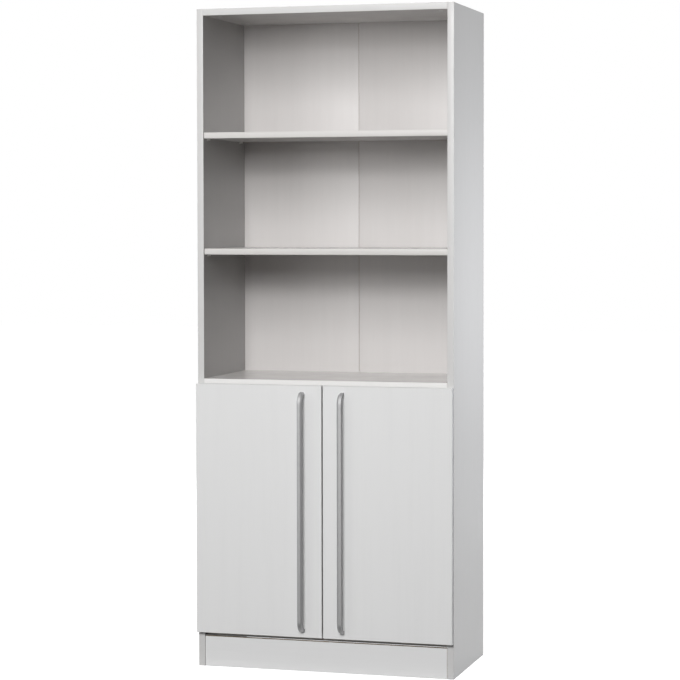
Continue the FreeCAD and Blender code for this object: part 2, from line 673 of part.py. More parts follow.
        # cup in the door, with a flange let into its back and two lugs for the front pivot
        cupX = fromEdge(side, size["cupCentre"])
        floor = doorBackY - size["cupDepth"]
        pot = rod(tag + "Pot", ref("cupRadius"), ref("cupDepth"), (cupX, doorBackY, z), (0, -1, 0))
        flangeIn = size["cupCentre"] - size["cupRadius"] + size["flangeShift"]
        flange = box(tag + "Flange", ref("flangeWidth"), ref("flangeBoard"), ref("flangeLength"),
                     (span(side, flangeIn, flangeIn + size["flangeWidth"]),
                      doorBackY - size["flangeBoard"], z - size["flangeLength"] / 2))
        hollow = rod(tag + "Hollow", "Sizes.cupRadius - Sizes.cupWall",
                     "Sizes.cupDepth - Sizes.cupWall + 1", (cupX, doorBackY + 1, z), (0, -1, 0))
        shell = cut(tag + "Shell", fuse(tag + "CupWhole", [pot, flange]), hollow)
        lugNear, lugFar = size["cupPinX"] - size["lugOuter"], size["cupPinX"] + size["lugInner"]
        lugs = [
            box(tag + "Lug%d" % j, lugFar - lugNear,
                size["cupPinY"] - size["doorBackGap"] + size["lugRise"], ref("cheekBoard"),
                (span(side, lugNear, lugFar), floor + size["cupWall"] / 2, low))
            for j, low in enumerate((z - cheekOut, z + cheekIn))
        ]
        lugBlock = doc.addObject("Part::MultiCommon", tag + "LugBlock")
        lugBlock.Shapes = [
            fuse(tag + "Lugs", lugs),
            rod(tag + "LugLimit", "Sizes.cupRadius - Sizes.cupWall / 2", ref("cupDepth"),
                (cupX, doorBackY, z), (0, -1, 0)),
        ]
        cupPins = fuse(tag + "CupBores", [
            rod(tag + "CupPinBore", "Sizes.hingePin + Sizes.plugGap", 2 * cheekOut + 0.4,
                (cupPin[0], cupPin[1], z - cheekOut - 0.2), (0, 0, 1)),
        ] + [
            rod(tag + "FlangeHole%d" % j, "Sizes.woodScrewRadius + Sizes.fitGap", 4.0,
                (fromEdge(side, size["cupCentre"] + size["cupScrewShift"]), doorBackY + 1, z + dz),
                (0, -1, 0))
            for j, dz in enumerate((-size["cupScrewOffset"], size["cupScrewOffset"]))
        ])
        cups.append(cut(tag + "Cup", fuse(tag + "CupBody", [shell, lugBlock]), cupPins))
        for j, dz in enumerate((-size["cupScrewOffset"], size["cupScrewOffset"])):
            at = (fromEdge(side, size["cupCentre"] + size["cupScrewShift"]), doorBackY, z + dz)
            cupScrews.append(fuse(tag + "CupScrew%d" % j, [
                rod(tag + "CupShank%d" % j, ref("woodScrewRadius"), ref("cupScrewLength"),
                    at, (0, -1, 0)),
                rod(tag + "CupHead%d" % j, ref("woodScrewHead"), ref("flatHeadHeight"), at, (0, 1, 0)),
            ]))
    group(word + "_hinge_plates", plates)
    group(word + "_hinge_arms", arms)
    group(word + "_hinge_links", links)
    group(word + "_hinge_cups", cups)
    group(word + "_plate_screws", plateScrews)
    group(word + "_arm_screws", armScrews)
    group(word + "_cup_screws", cupScrews)


def door(side, word):
    near, far = size["doorReveal"], halfWidth - size["meetingGap"] / 2
    x = span(side, near, far)
    wide = "Sizes.width / 2 - Sizes.meetingGap / 2 - Sizes.doorReveal"
    node = word + "_door"
    body = board(node, "XZ_Plane", wide, "Sizes.doorTop - Sizes.doorBase", ref("doorBoard"),
                 (x, doorBackY, size["doorBase"]))
    cups = [(fromEdge(side, size["cupCentre"]) - x, z - size["doorBase"]) for z in hingeHeights]
    drill(body, "XZ_Plane", 0.0, cups, "Sizes.cupRadius + Sizes.fitGap",
          "Sizes.cupDepth + Sizes.jointGap", True)
    flangeIn = size["cupCentre"] - size["cupRadius"] + size["flangeShift"]
    gap = size["fitGap"]
    left = span(side, flangeIn, flangeIn + size["flangeWidth"]) - x - gap
    for z in hingeHeights:
        low = z - size["flangeLength"] / 2 - size["doorBase"] - gap
        trench(body, "XZ_Plane", 0.0,
               (left, low, left + size["flangeWidth"] + 2 * gap, low + size["flangeLength"] + 2 * gap),
               "Sizes.flangeBoard + Sizes.fitGap", True)
        screws = [(fromEdge(side, size["cupCentre"] + size["cupScrewShift"]) - x,
                   z + dz - size["doorBase"])
                  for dz in (-size["cupScrewOffset"], size["cupScrewOffset"])]
        drill(body, "XZ_Plane", 0.0, screws, ref("woodScrewRadius"),
              "Sizes.cupScrewLength + Sizes.jointGap", True)
    feet = [(side * size["handleInset"] - x, z - size["doorBase"]) for z in footHeights]
    drill(body, "XZ_Plane", 0.0, feet,
          "Sizes.handleScrewRadius + Sizes.fitGap", "Sizes.doorBoard", True)
    return body


for side, word in ((-1, "left"), (1, "right")):
    door(side, word)
    handle(word + "_handle", side)
    screws = []
    for i, z in enumerate(footHeights):
        at = (side * size["handleInset"], doorBackY, z)
        screws.append(fuse("%sHandleScrew%d" % (word, i), [
            rod("%sHandleShank%d" % (word, i), ref("handleScrewRadius"),
                "Sizes.doorBoard + Sizes.handleScrewGrip - Sizes.endPlay", at, (0, -1, 0)),
            rod("%sHandleHead%d" % (word, i), ref("screwHeadRadius"), ref("screwHeadHeight"),
                at, (0, 1, 0)),
        ]))
    group(word + "_handle_screws", screws)
    hinge(side, word)
    # both bumpers meet the front edge of the fixed shelf
    bumpers = []
    for i, x in enumerate((size["bumperInset"], halfWidth - size["bumperEdge"])):
        bumpers.append(rod("%sBumper%d" % (word, i), ref("bumperRadius"), ref("bumperBoard"),
                           (side * x, doorBackY, size["doorTop"] - size["bumperDrop"]), (0, 1, 0)))
    group(word + "_door_bumpers", bumpers)

doc.recompute()
for obj in doc.Objects:
    if "Invalid" in obj.State or "Error" in obj.State:
        raise RuntimeError("%s: %s" % (obj.Name, obj.State))
os.makedirs("parts", exist_ok=True)
for node, obj in made.items():
    shape = obj.Shape
    if shape.isNull() or not shape.isValid():
        raise RuntimeError("%s has no valid shape" % node)
    shape.exportStep("parts/%s.step" % node)
    box3 = shape.BoundBox
    print("%-22s solids %2d vol %10.0f  x %.1f..%.1f y %.1f..%.1f z %.1f..%.1f" % (
        node, len(shape.Solids), shape.Volume,
        box3.XMin, box3.XMax, box3.YMin, box3.YMax, box3.ZMin, box3.ZMax))
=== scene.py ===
import math

import bpy
from mathutils import Matrix, Vector


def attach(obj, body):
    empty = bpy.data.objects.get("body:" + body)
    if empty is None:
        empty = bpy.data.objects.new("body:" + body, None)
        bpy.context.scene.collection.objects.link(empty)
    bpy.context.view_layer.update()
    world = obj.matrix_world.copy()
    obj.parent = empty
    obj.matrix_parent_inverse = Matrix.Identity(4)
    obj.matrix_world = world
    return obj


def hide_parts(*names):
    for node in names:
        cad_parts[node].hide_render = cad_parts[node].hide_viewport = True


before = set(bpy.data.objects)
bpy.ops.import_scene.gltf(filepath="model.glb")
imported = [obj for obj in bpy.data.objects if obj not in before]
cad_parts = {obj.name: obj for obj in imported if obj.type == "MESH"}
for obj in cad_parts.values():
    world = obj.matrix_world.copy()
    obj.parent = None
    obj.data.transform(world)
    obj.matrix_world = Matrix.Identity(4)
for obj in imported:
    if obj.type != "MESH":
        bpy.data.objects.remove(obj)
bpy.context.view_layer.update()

# Sizes are in metres: x from the middle of the width, the front faces -Y, the floor is z 0
cabinet = {
    "half": 0.4,  # half of the width, outside and between the side panels
    "inner": 0.38,
    "front": -0.1725,
    "rear": 0.2275,
    "height": 2.0,
    "board": 0.02,
    "doorBack": -0.1745,
    "doorFace": -0.1925,
    "pinRows": (-0.1355, 0.1725),
    "pinDrop": 0.0025,  # from a loose shelf down to the middle of its pins
    "camRows": (-0.1125, 0.1525),
    "dowelRows": (-0.0805, 0.1205),
    "plinthPegs": {"y": -0.163, "heights": (0.025, 0.070)},
    "joints": {"top_panel": 1.98, "fixed_shelf": 0.86, "bottom_panel": 0.0923},
    "shelves": {"upper_shelf": 1.609, "middle_shelf": 1.257, "cabinet_shelf": 0.48},
}
groove = {"front": 0.2193, "rear": 0.2225, "low": 0.1043, "depth": 0.008}

# Places that the doors, side panels, hinges and screws share
hinge = {
    "heights": (0.196, 0.776),
    "plateScrews": {"y": -0.1355, "rises": (-0.016, 0.016)},
    "plateFace": 0.378,
    "armScrew": -0.1175,
    "cupMiddle": 0.378,
    "cupScrews": {"x": 0.372, "rises": (-0.024, 0.024)},
    "armPin": (0.364, -0.1445),
    "cupPin": (0.3905, -0.1808),
    "pinHole": 0.00155,
    "cheeks": (0.0063, 0.0083),  # inner and outer face of arm and lugs, from the middle
}

near = 1e-6  # closer than this is the same place
over = 0.001  # a cutter reaches this far past the face it enters


# Modelling helpers
def pickNothing():
    bpy.ops.object.select_all(action="DESELECT")


def pickOnly(*objects):
    pickNothing()
    for thing in objects:
        thing.select_set(True)
    bpy.context.view_layer.objects.active = objects[0]


def applyPlace(piece):
    pickOnly(piece)
    bpy.ops.object.transform_apply(location=True, rotation=True, scale=True)


def named(name):
    piece = bpy.context.object
    piece.name = name
    return piece


def addBlock(name, low, high):
    pickNothing()
    middle = [(a + b) / 2 for a, b in zip(low, high)]
    bpy.ops.mesh.primitive_cube_add(size=1, location=middle)
    piece = named(name)
    piece.scale = [b - a for a, b in zip(low, high)]
    applyPlace(piece)
    return piece


def addRod(name, centre, radius, length, axis="Z", sides=32):
    pickNothing()
    turn = {"X": (0, math.pi / 2, 0), "Y": (math.pi / 2, 0, 0), "Z": (0, 0, 0)}[axis]
    bpy.ops.mesh.primitive_cylinder_add(
        vertices=sides, radius=radius, depth=length, location=centre, rotation=turn)
    piece = named(name)
    applyPlace(piece)
    return piece


def editMode():
    bpy.ops.object.mode_set(mode="EDIT")


def objectMode():
    bpy.ops.object.mode_set(mode="OBJECT")


def startPick(piece, kind):
    pickOnly(piece)
    editMode()
    bpy.ops.mesh.select_mode(type=kind)
    bpy.ops.mesh.select_all(action="DESELECT")
    objectMode()


def pickEdges(piece, wanted):
    startPick(piece, "EDGE")
    points = piece.data.vertices
    for edge in piece.data.edges:
        a, b = (points[i].co for i in edge.vertices)
        edge.select = wanted(a, b)
    editMode()


def pickFaces(piece, wanted):
    startPick(piece, "FACE")
    for face in piece.data.polygons:
        face.select = wanted(face.center, face.normal)
    editMode()


def pickPoints(piece, wanted):
    startPick(piece, "VERT")
    for point in piece.data.vertices:
        point.select = wanted(point.co)
    editMode()


def pickWhole(piece):
    pickFaces(piece, lambda centre, facing: True)


def roundEdges(piece, radius, segments, wanted):
    pickEdges(piece, wanted)
    bpy.ops.mesh.bevel(offset=radius, segments=segments, profile=0.5, affect="EDGES")
    objectMode()


def along(axis):
    return lambda a, b: abs(a[axis] - b[axis]) > near


def endRim(axis):
    return lambda a, b: abs(a[axis] - b[axis]) < near


def resizePicked(*shares):
    bpy.ops.transform.resize(value=shares)
    objectMode()


def bisectAt(piece, point, normal, **choices):
    pickWhole(piece)
    bpy.ops.mesh.bisect(plane_co=point, plane_no=normal, **choices)
    objectMode()


def applyModifier(piece, kind, **settings):
    pickOnly(piece)
    modifier = piece.modifiers.new(kind.title(), kind)
    for key, value in settings.items():
        setattr(modifier, key, value)
    bpy.ops.object.modifier_apply(modifier=modifier.name)


def softenEdges(piece, radius):
    applyModifier(piece, "BEVEL", width=radius, segments=2, limit_method="ANGLE",
                  angle_limit=math.radians(30), use_clamp_overlap=True)


def joinPieces(name, pieces):
    pickOnly(*pieces)
    if len(pieces) > 1:
        bpy.ops.object.join()
    pieces[0].name = name
    return pieces[0]


def addMaterials(piece, materials):
    for material in materials:
        piece.data.materials.append(material)


def carve(piece, cutters, operation="DIFFERENCE"):
    cutter = joinPieces(piece.name + "Cutter", cutters)
    addMaterials(cutter, piece.data.materials)
    last = max(len(piece.data.materials) - 1, 0)
    for face in cutter.data.polygons:
        face.material_index = last
    applyModifier(piece, "BOOLEAN", object=cutter, operation=operation, solver="EXACT")
    bpy.data.objects.remove(cutter)


def fixNormals(piece):
    pickWhole(piece)
    bpy.ops.mesh.normals_make_consistent(inside=False)
    objectMode()


def placeCopy(source, name, place):
    pickOnly(source)
    bpy.ops.object.duplicate()
    piece = named(name)
    piece.matrix_world = place
    applyPlace(piece)
    if place.determinant() < 0:
        fixNormals(piece)
    return piece


def copyAll(source, name, places):
    return joinPieces(name, [placeCopy(source, name, place) for place in places])


def at(x, y, z):
    return Matrix.Translation((x, y, z))


def facingWay(axis, way):
    turn = {"X": (way, "Y"), "Y": (-way, "X")}[axis]
    return Matrix.Rotation(turn[0] * math.pi / 2, 4, turn[1])


def dress(piece, body, finish, node, angle=35):
    if finish:
        piece.data.materials.clear()
        piece.data.materials.append(finish)
    pickOnly(piece)
    bpy.ops.object.shade_smooth_by_angle(angle=math.radians(angle))
    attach(piece, body)
    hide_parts(node)


# Effects shared by the materials, as node groups
def startGroup(name, numbers, outputs):
    group = bpy.data.node_groups.new(name, "ShaderNodeTree")
    addSocket = group.interface.new_socket
    addSocket(name="Vector", in_out="INPUT", socket_type="NodeSocketVector")
    for label, value in numbers.items():
        socket = addSocket(name=label, in_out="INPUT", socket_type="NodeSocketFloat")
        socket.default_value = value
    for label in outputs:
        addSocket(name=label, in_out="OUTPUT", socket_type="NodeSocketFloat")
    enter = group.nodes.new("NodeGroupInput")
    leave = group.nodes.new("NodeGroupOutput")
    return group, enter, leave


def addNode(tree, kind, **values):
    node = tree.nodes.new("ShaderNode" + kind)
    for key, value in values.items():
        label = key.replace("_", " ")
        if label in node.inputs:
            node.inputs[label].default_value = value
        else:
            setattr(node, key, value)
    return node


def addMix(tree, first, second, share):
    mix = addNode(tree, "Mix")
    mix.inputs[0].default_value = share
    tree.links.new(first, mix.inputs[2])
    tree.links.new(second, mix.inputs[3])
    return mix.outputs[0]


streak = {"finer": 5.0, "fineShare": 0.35}


def makeStreaks():
    group, enter, leave = startGroup("LongStreaks", {"Fineness": 1.0}, ["Mask", "Height"])
    wide = addNode(group, "TexNoise", Detail=3.0, Roughness=0.55)
    fine = addNode(group, "TexNoise", Detail=2.0, Roughness=0.6)
    finer = addNode(group, "Math", operation="MULTIPLY")
    finer.inputs[1].default_value = streak["finer"]
    link = group.links.new
    link(enter.outputs["Vector"], wide.inputs["Vector"])
    link(enter.outputs["Vector"], fine.inputs["Vector"])
    link(enter.outputs["Fineness"], wide.inputs["Scale"])
    link(enter.outputs["Fineness"], finer.inputs[0])
    link(finer.outputs[0], fine.inputs["Scale"])
    mask = addMix(group, wide.outputs["Fac"], fine.outputs["Fac"], streak["fineShare"])
    link(mask, leave.inputs["Mask"])
    link(fine.outputs["Fac"], leave.inputs["Height"])
    return group


def makeMottle():
    group, enter, leave = startGroup(
        "HandledSurface", {"Scale": 6.0, "Low": 0.35, "High": 0.45}, ["Value"])
    cloud = addNode(group, "TexNoise", Detail=4.0, Roughness=0.6)
    spread = addNode(group, "MapRange", From_Min=0.3, From_Max=0.7)
    link = group.links.new
    link(enter.outputs["Vector"], cloud.inputs["Vector"])
    link(enter.outputs["Scale"], cloud.inputs["Scale"])
    link(cloud.outputs["Fac"], spread.inputs["Value"])
    link(enter.outputs["Low"], spread.inputs["To Min"])
    link(enter.outputs["High"], spread.inputs["To Max"])
    link(spread.outputs["Result"], leave.inputs["Value"])
    return group


longStreaks = makeStreaks()
handledSurface = makeMottle()


def startMaterial(name, **values):
    material = bpy.data.materials.new(name)
    material.use_nodes = True
    shader = material.node_tree.nodes["Principled BSDF"]
    for key, value in values.items():
        shader.inputs[key.replace("_", " ")].default_value = value
    return material.node_tree, material


def toShader(tree, source, socket):
    tree.links.new(source, tree.nodes["Principled BSDF"].inputs[socket])


def stretched(tree, scale=(1, 1, 1)):
    place = addNode(tree, "TexCoord")
    mapping = addNode(tree, "Mapping", Scale=scale)
    tree.links.new(place.outputs["Object"], mapping.inputs["Vector"])
    return mapping.outputs["Vector"]


def placeGroup(tree, group, vector, **values):
    node = tree.nodes.new("ShaderNodeGroup")
    node.node_tree = group
    tree.links.new(vector, node.inputs["Vector"])
    for key, value in values.items():
        node.inputs[key].default_value = value
    return node


def addStreaks(tree, scale):
    return placeGroup(tree, longStreaks, stretched(tree, scale), Fineness=1.0)


def addNoise(tree, scale=(1, 1, 1), **values):
    noise = addNode(tree, "TexNoise", **values)
    tree.links.new(stretched(tree, scale), noise.inputs["Vector"])
    return noise.outputs["Fac"]


def addTone(tree, source, stops):
    ramp = addNode(tree, "ValToRGB")
    bands = ramp.color_ramp.elements
    while len(bands) < len(stops):
        bands.new(0.5)
    for band, (position, colour) in zip(bands, stops):
        band.position, band.color = position, (*colour, 1)
    tree.links.new(source, ramp.inputs["Fac"])
    toShader(tree, ramp.outputs["Color"], "Base Color")


def addWear(tree, roughness, scale):
    low, high = roughness
    surface = placeGroup(tree, handledSurface, stretched(tree), Scale=scale, Low=low, High=high)
    toShader(tree, surface.outputs["Value"], "Roughness")


def addBump(tree, height, strength, distance=0.0001):
    bump = addNode(tree, "Bump", Strength=strength, Distance=distance)
    tree.links.new(height, bump.inputs["Height"])
    toShader(tree, bump.outputs["Normal"], "Normal")


def shaded(colour, share):
    return tuple(c * share for c in colour)


# White boards, their edge bands and the wood that shows where they are cut
# The tones below stand for one white finish. They differ by place only to match how much light
# falls there, so they hold painted light and shade: darkest on the side panels' inner faces,
# lightest on the doors and plinth.
boardFinishAndShade = {
    "outer": (0.600, 0.590, 0.583),
    # the side panels' inner faces: painted shade, much darker than the outer faces of the same
    # board
    "upright": (0.378, 0.371, 0.366),
    "across": (0.690, 0.672, 0.658),
    "back": (0.626, 0.604, 0.594),
    "band": (0.632, 0.626, 0.620),
    "shelfBand": (0.655, 0.637, 0.619),
    "fixedBand": (0.755, 0.745, 0.736),
    "door": (0.800, 0.800, 0.798),
    # the door edges: painted shade, darker than the door faces of the same white board
    "doorBandPaintedShade": (0.680, 0.680, 0.678),
    "plinth": (0.810, 0.810, 0.810),
    "streakDepth": 0.012,
    "roughness": (0.18, 0.24),
}
grain = {"upright": (55, 55, 2.2), "across": (2.2, 55, 55), "door": (48, 48, 1.8),
         "back": (40, 40, 1.6)}


def melamine(name, tone, run):
    colour = boardFinishAndShade[tone]
    tree, material = startMaterial(name)
    streaks = addStreaks(tree, grain[run])
    depth = boardFinishAndShade["streakDepth"]
    addTone(tree, streaks.outputs["Mask"], [
        (0.36, shaded(colour, 1 - depth)), (0.50, colour), (0.66, shaded(colour, 1 + depth / 3))])
    addWear(tree, boardFinishAndShade["roughness"], scale=7.0)
    addBump(tree, streaks.outputs["Height"], strength=0.12)
    return material


def edgeBand(name, tone):
    colour = boardFinishAndShade[tone]
    tree, material = startMaterial(name)
    grit = addNoise(tree, Scale=1800.0, Detail=2.0)
    addTone(tree, grit, [(0.3, shaded(colour, 0.985)), (0.7, shaded(colour, 1.005))])
    addWear(tree, (0.33, 0.41), scale=20.0)
    addBump(tree, grit, strength=0.08)
    return material


def chipboard():
    tree, material = startMaterial("RawChipboard", Roughness=0.85)
    flakes = addNode(tree, "TexVoronoi", Scale=1.0, Randomness=1.0)
    tree.links.new(stretched(tree, (380, 380, 620)), flakes.inputs["Vector"])
    grey = addNode(tree, "RGBToBW")
    tree.links.new(flakes.outputs["Color"], grey.inputs["Color"])
    addTone(tree, grey.outputs["Val"], [
        (0.15, (0.23, 0.14, 0.07)), (0.4, (0.42, 0.29, 0.16)),
        (0.7, (0.55, 0.41, 0.24)), (0.9, (0.66, 0.53, 0.34))])
    addBump(tree, grey.outputs["Val"], strength=0.5, distance=0.0004)
    return material


def glueLine():
    tree, material = startMaterial("GlueLine", Roughness=0.6)
    grit = addNoise(tree, Scale=300.0, Detail=2.0)
    addTone(tree, grit, [(0.3, (0.50, 0.48, 0.44)), (0.7, (0.62, 0.60, 0.56))])
    return material


def lacqueredHardboard():
    colour = boardFinishAndShade["back"]
    tree, material = startMaterial("LacqueredHardboard")
    peel = addNoise(tree, Scale=700.0, Detail=3.0, Roughness=0.5)
    streaks = addStreaks(tree, grain["back"])
    addTone(tree, streaks.outputs["Mask"], [
        (0.36, shaded(colour, 0.985)), (0.6, shaded(colour, 1.005))])
    addWear(tree, (0.42, 0.52), scale=5.0)
    addBump(tree, peel, strength=0.10, distance=0.00015)
    return material


def brownHardboard():
    tree, material = startMaterial("BrownHardboard", Roughness=0.78)
    fibres = addNoise(tree, (260, 260, 140), Scale=1.0, Detail=6.0, Roughness=0.7)
    patches = addNoise(tree, Scale=9.0, Detail=3.0)
    addTone(tree, addMix(tree, fibres, patches, share=0.35), [
        (0.35, (0.19, 0.105, 0.050)), (0.5, (0.27, 0.160, 0.082)),
        (0.65, (0.36, 0.225, 0.125))])
    addBump(tree, fibres, strength=0.35, distance=0.0003)
    return material


def metal(name, colour, roughness, scale, contrast=0.06, bump=0.06):
    tree, material = startMaterial(name, Metallic=1.0)
    brushing = addStreaks(tree, scale)
    addTone(tree, brushing.outputs["Mask"], [
        (0.35, shaded(colour, 1 - contrast)), (0.65, shaded(colour, 1 + contrast))])
    addWear(tree, roughness, scale=60.0)
    addBump(tree, brushing.outputs["Height"], strength=bump)
    return material


def plastic(name, colour, roughness, **values):
    tree, material = startMaterial(name, **values)
    grit = addNoise(tree, Scale=900.0, Detail=3.0)
    addTone(tree, grit, [(0.3, shaded(colour, 0.97)), (0.7, shaded(colour, 1.01))])
    addWear(tree, roughness, scale=30.0)
    addBump(tree, grit, strength=0.10)
    return material


def beech():
    tree, material = startMaterial("PlainBeech", Roughness=0.62)
    streaks = addStreaks(tree, (30, 700, 700))
    addTone(tree, streaks.outputs["Mask"], [
        (0.3, (0.50, 0.32, 0.17)), (0.5, (0.64, 0.45, 0.26)), (0.7, (0.72, 0.54, 0.34))])
    addBump(tree, streaks.outputs["Height"], strength=0.25, distance=0.0002)
    return material


outerBoard = melamine("OuterWhiteBoard", "outer", "upright")
# the side panels' inner faces are painted darker, as shade
innerFaceShadeBoard = melamine("InnerFacePaintedShadeBoard", "upright", "upright")
acrossBoard = melamine("AcrossWhiteBoard", "across", "across")
doorBoard = melamine("DoorBoard", "door", "door")
plinthFace = melamine("PlinthBoard", "plinth", "across")
bodyBand = edgeBand("BodyEdgeBand", "band")
shelfBand = edgeBand("ShelfEdgeBand", "shelfBand")
fixedBand = edgeBand("FixedShelfEdgeBand", "fixedBand")
# the door edge band is painted darker, as shade
doorBandPaintedShade = edgeBand("DoorEdgeBandPaintedShade", "doorBandPaintedShade")
plinthBand = edgeBand("PlinthEdgeBand", "plinth")
bandGlue = glueLine()
rawCore = chipboard()
backFront = lacqueredHardboard()
backRear = brownHardboard()
handleMetal = metal("SatinHandle", (0.395, 0.395, 0.398), roughness=(0.62, 0.70),
                    scale=(1500, 1500, 14))
nickel = metal("NickelledSteel", (0.66, 0.65, 0.63), roughness=(0.22, 0.32), scale=(300, 300, 300))
pinSteel = metal("SatinPin", (0.80, 0.79, 0.77), roughness=(0.46, 0.56), scale=(300, 300, 300))
zincPlate = metal("ZincPlatedScrew", (0.60, 0.61, 0.63), roughness=(0.30, 0.42),
                  scale=(500, 500, 500))
dieCast = metal("DieCastZinc", (0.50, 0.50, 0.51), roughness=(0.42, 0.58),
                scale=(900, 900, 900), contrast=0.10, bump=0.4)
stripWhite = plastic("StripPlastic", (0.80, 0.80, 0.78), roughness=(0.45, 0.55))
gel = plastic("ClearGel", (0.86, 0.86, 0.84), roughness=(0.22, 0.32),
              Transmission_Weight=0.5, IOR=1.45)
dowelBeech = beech()
print("materials ready")


# Boards: a block with rounded front arrises, a band glued on its seen edges and a raw core
sideOf = {"left": (0, -1), "right": (0, 1), "front": (1, -1), "rear": (1, 1),
          "base": (2, -1), "top": (2, 1)}
boardEdge = {"arris": 0.0008, "band": 0.0010, "glue": 0.00012}
boardSlot = {"face": 0, "band": 1, "glue": 2, "core": 3, "outer": 4}


def makeBoard(name, low, high, materials, banded, raw):
    piece = addBlock(name, low, high)
    limits = (low, high)

    def depthIn(point, side):
        axis, way = sideOf[side]
        return (limits[way > 0][axis] - point[axis]) * way

    def onFace(side, *points):
        return all(abs(depthIn(point, side)) < near for point in points)

    def isArris(a, b):
        return (any(onFace(side, a, b) for side in banded)
                and not any(onFace(side, a, b) for side in raw))

    roundEdges(piece, boardEdge["arris"], 3, isArris)
    bandDepth = boardEdge["band"]
    glueDepth = boardEdge["band"] + boardEdge["glue"]
    for side in banded:
        axis, way = sideOf[side]
        for depth in (bandDepth, glueDepth):
            point, normal = [0, 0, 0], [0, 0, 0]
            point[axis] = limits[way > 0][axis] - way * depth
            normal[axis] = 1
            bisectAt(piece, point, normal)
    addMaterials(piece, materials)
    for face in piece.data.polygons:
        slot = "core" if any(onFace(side, face.center) for side in raw) else "face"
        for side in banded:
            depth = depthIn(face.center, side)
            if depth < bandDepth:
                slot = "band"
            elif depth < glueDepth and slot == "face":
                slot = "glue"
        face.material_index = boardSlot[slot]
    return piece


# Bores: radius, depth and number of sides
bores = {
    "camThread": (0.0025, 0.0115, 16),
    "camDisc": (0.0076, 0.0134, 32),
    "camBolt": (0.004, 0.034, 16),
    "dowel": (0.00405, 0.0105, 16),
    "dowelEnd": (0.00405, 0.0205, 16),
    "shelfPin": (0.00255, 0.0105, 16),
    "backScrew": (0.00155, 0.006, 16),
    "plateScrew": (0.00175, 0.013, 12),
    "cup": (0.0175, 0.0118, 64),
    "cupScrew": (0.00175, 0.0103, 12),
    "handleScrew": (0.0021, 0.022, 16),
}


def bore(kind, place, axis, way):
    radius, depth, sides = bores[kind]
    start = 2 * over
    centre = list(place)
    centre["XYZ".index(axis)] += way * (depth - start) / 2
    return addRod("bore", centre, radius, depth + start, axis, sides)


def makeSidePanel(node, side):
    outer, inner = side * cabinet["half"], side * cabinet["inner"]
    panel = makeBoard(node + "Board", (min(outer, inner), cabinet["front"], 0),
                      (max(outer, inner), cabinet["rear"], cabinet["height"]),
                      (innerFaceShadeBoard, bodyBand, bandGlue, rawCore, outerBoard),
                      ("front", "top"), ("rear", "base"))
    # the outer face takes the lighter tone, the inner face keeps the darker one: painted shade
    for face in panel.data.polygons:
        if face.material_index == boardSlot["face"] and abs(face.center.x - outer) < near:
            face.material_index = boardSlot["outer"]
    low, high = sorted((inner - side * over, inner + side * groove["depth"]))
    cutters = [addBlock("groove", (low, groove["front"], groove["low"]),
                        (high, groove["rear"], cabinet["height"] + over))]
    for base in cabinet["joints"].values():
        middle = base + cabinet["board"] / 2
        cutters += [bore("camThread", (inner, y, middle), "X", side) for y in cabinet["camRows"]]
        cutters += [bore("dowel", (inner, y, middle), "X", side) for y in cabinet["dowelRows"]]
    pegs = cabinet["plinthPegs"]
    cutters += [bore("dowel", (inner, pegs["y"], z), "X", side) for z in pegs["heights"]]
    for base in cabinet["shelves"].values():
        cutters += [bore("shelfPin", (inner, y, base - cabinet["pinDrop"]), "X", side)
                    for y in cabinet["pinRows"]]
    seats = hinge["plateScrews"]
    cutters += [bore("plateScrew", (inner, seats["y"], z + rise), "X", side)
                for z in hinge["heights"] for rise in seats["rises"]]
    carve(panel, cutters)
    dress(panel, "carcass", None, node)


makeSidePanel("left_side_panel", -1)
makeSidePanel("right_side_panel", 1)

fixedBoard = {"half": 0.3797, "camInset": 0.034, "grooveHalf": 0.39, "grooveHigh": 0.009}


def layBoard(node, half, front, rear, base, thick, band=shelfBand):
    return makeBoard(node + "Board", (-half, front, base), (half, rear, base + thick),
                     (acrossBoard, band, bandGlue, rawCore), ("front",),
                     ("rear", "left", "right"))


def makeFixedBoard(node, front, rear, grooveBase, band):
    base, half = cabinet["joints"][node], fixedBoard["half"]
    panel = layBoard(node, half, front, rear, base, cabinet["board"], band)
    cutters = []
    if grooveBase is not None:
        reach = fixedBoard["grooveHalf"]
        cutters.append(addBlock("groove", (-reach, groove["front"], grooveBase),
                                (reach, groove["rear"], grooveBase + fixedBoard["grooveHigh"])))
    middle = base + cabinet["board"] / 2
    for side in (-1, 1):
        end, disc = side * half, side * (half - fixedBoard["camInset"])
        for y in cabinet["camRows"]:
            cutters += [bore("camDisc", (disc, y, base), "Z", 1),
                        bore("camBolt", (end, y, middle), "X", -side)]
        cutters += [bore("dowelEnd", (end, y, middle), "X", -side) for y in cabinet["dowelRows"]]
    carve(panel, cutters)
    dress(panel, "carcass", None, node)


makeFixedBoard("top_panel", front=-0.1715, rear=cabinet["rear"], grooveBase=1.979, band=bodyBand)
makeFixedBoard("fixed_shelf", front=cabinet["front"], rear=0.2190, grooveBase=None, band=fixedBand)
makeFixedBoard("bottom_panel", front=-0.1525, rear=cabinet["rear"], grooveBase=groove["low"],
               band=shelfBand)

looseShelf = {"half": 0.3795, "rear": 0.2178, "thick": 0.018}


def makeLooseShelf(node, front):
    shelf = layBoard(node, looseShelf["half"], front, looseShelf["rear"],
                     cabinet["shelves"][node], looseShelf["thick"])
    dress(shelf, "carcass", None, node)


makeLooseShelf("upper_shelf", front=-0.1665)
makeLooseShelf("middle_shelf", front=-0.1665)
makeLooseShelf("cabinet_shelf", front=-0.1525)

# The plinth is a hair short at each end, so its joints show as thin dark lines
plinthBoard = {"half": 0.3791, "front": -0.171, "rear": -0.155, "high": 0.092}


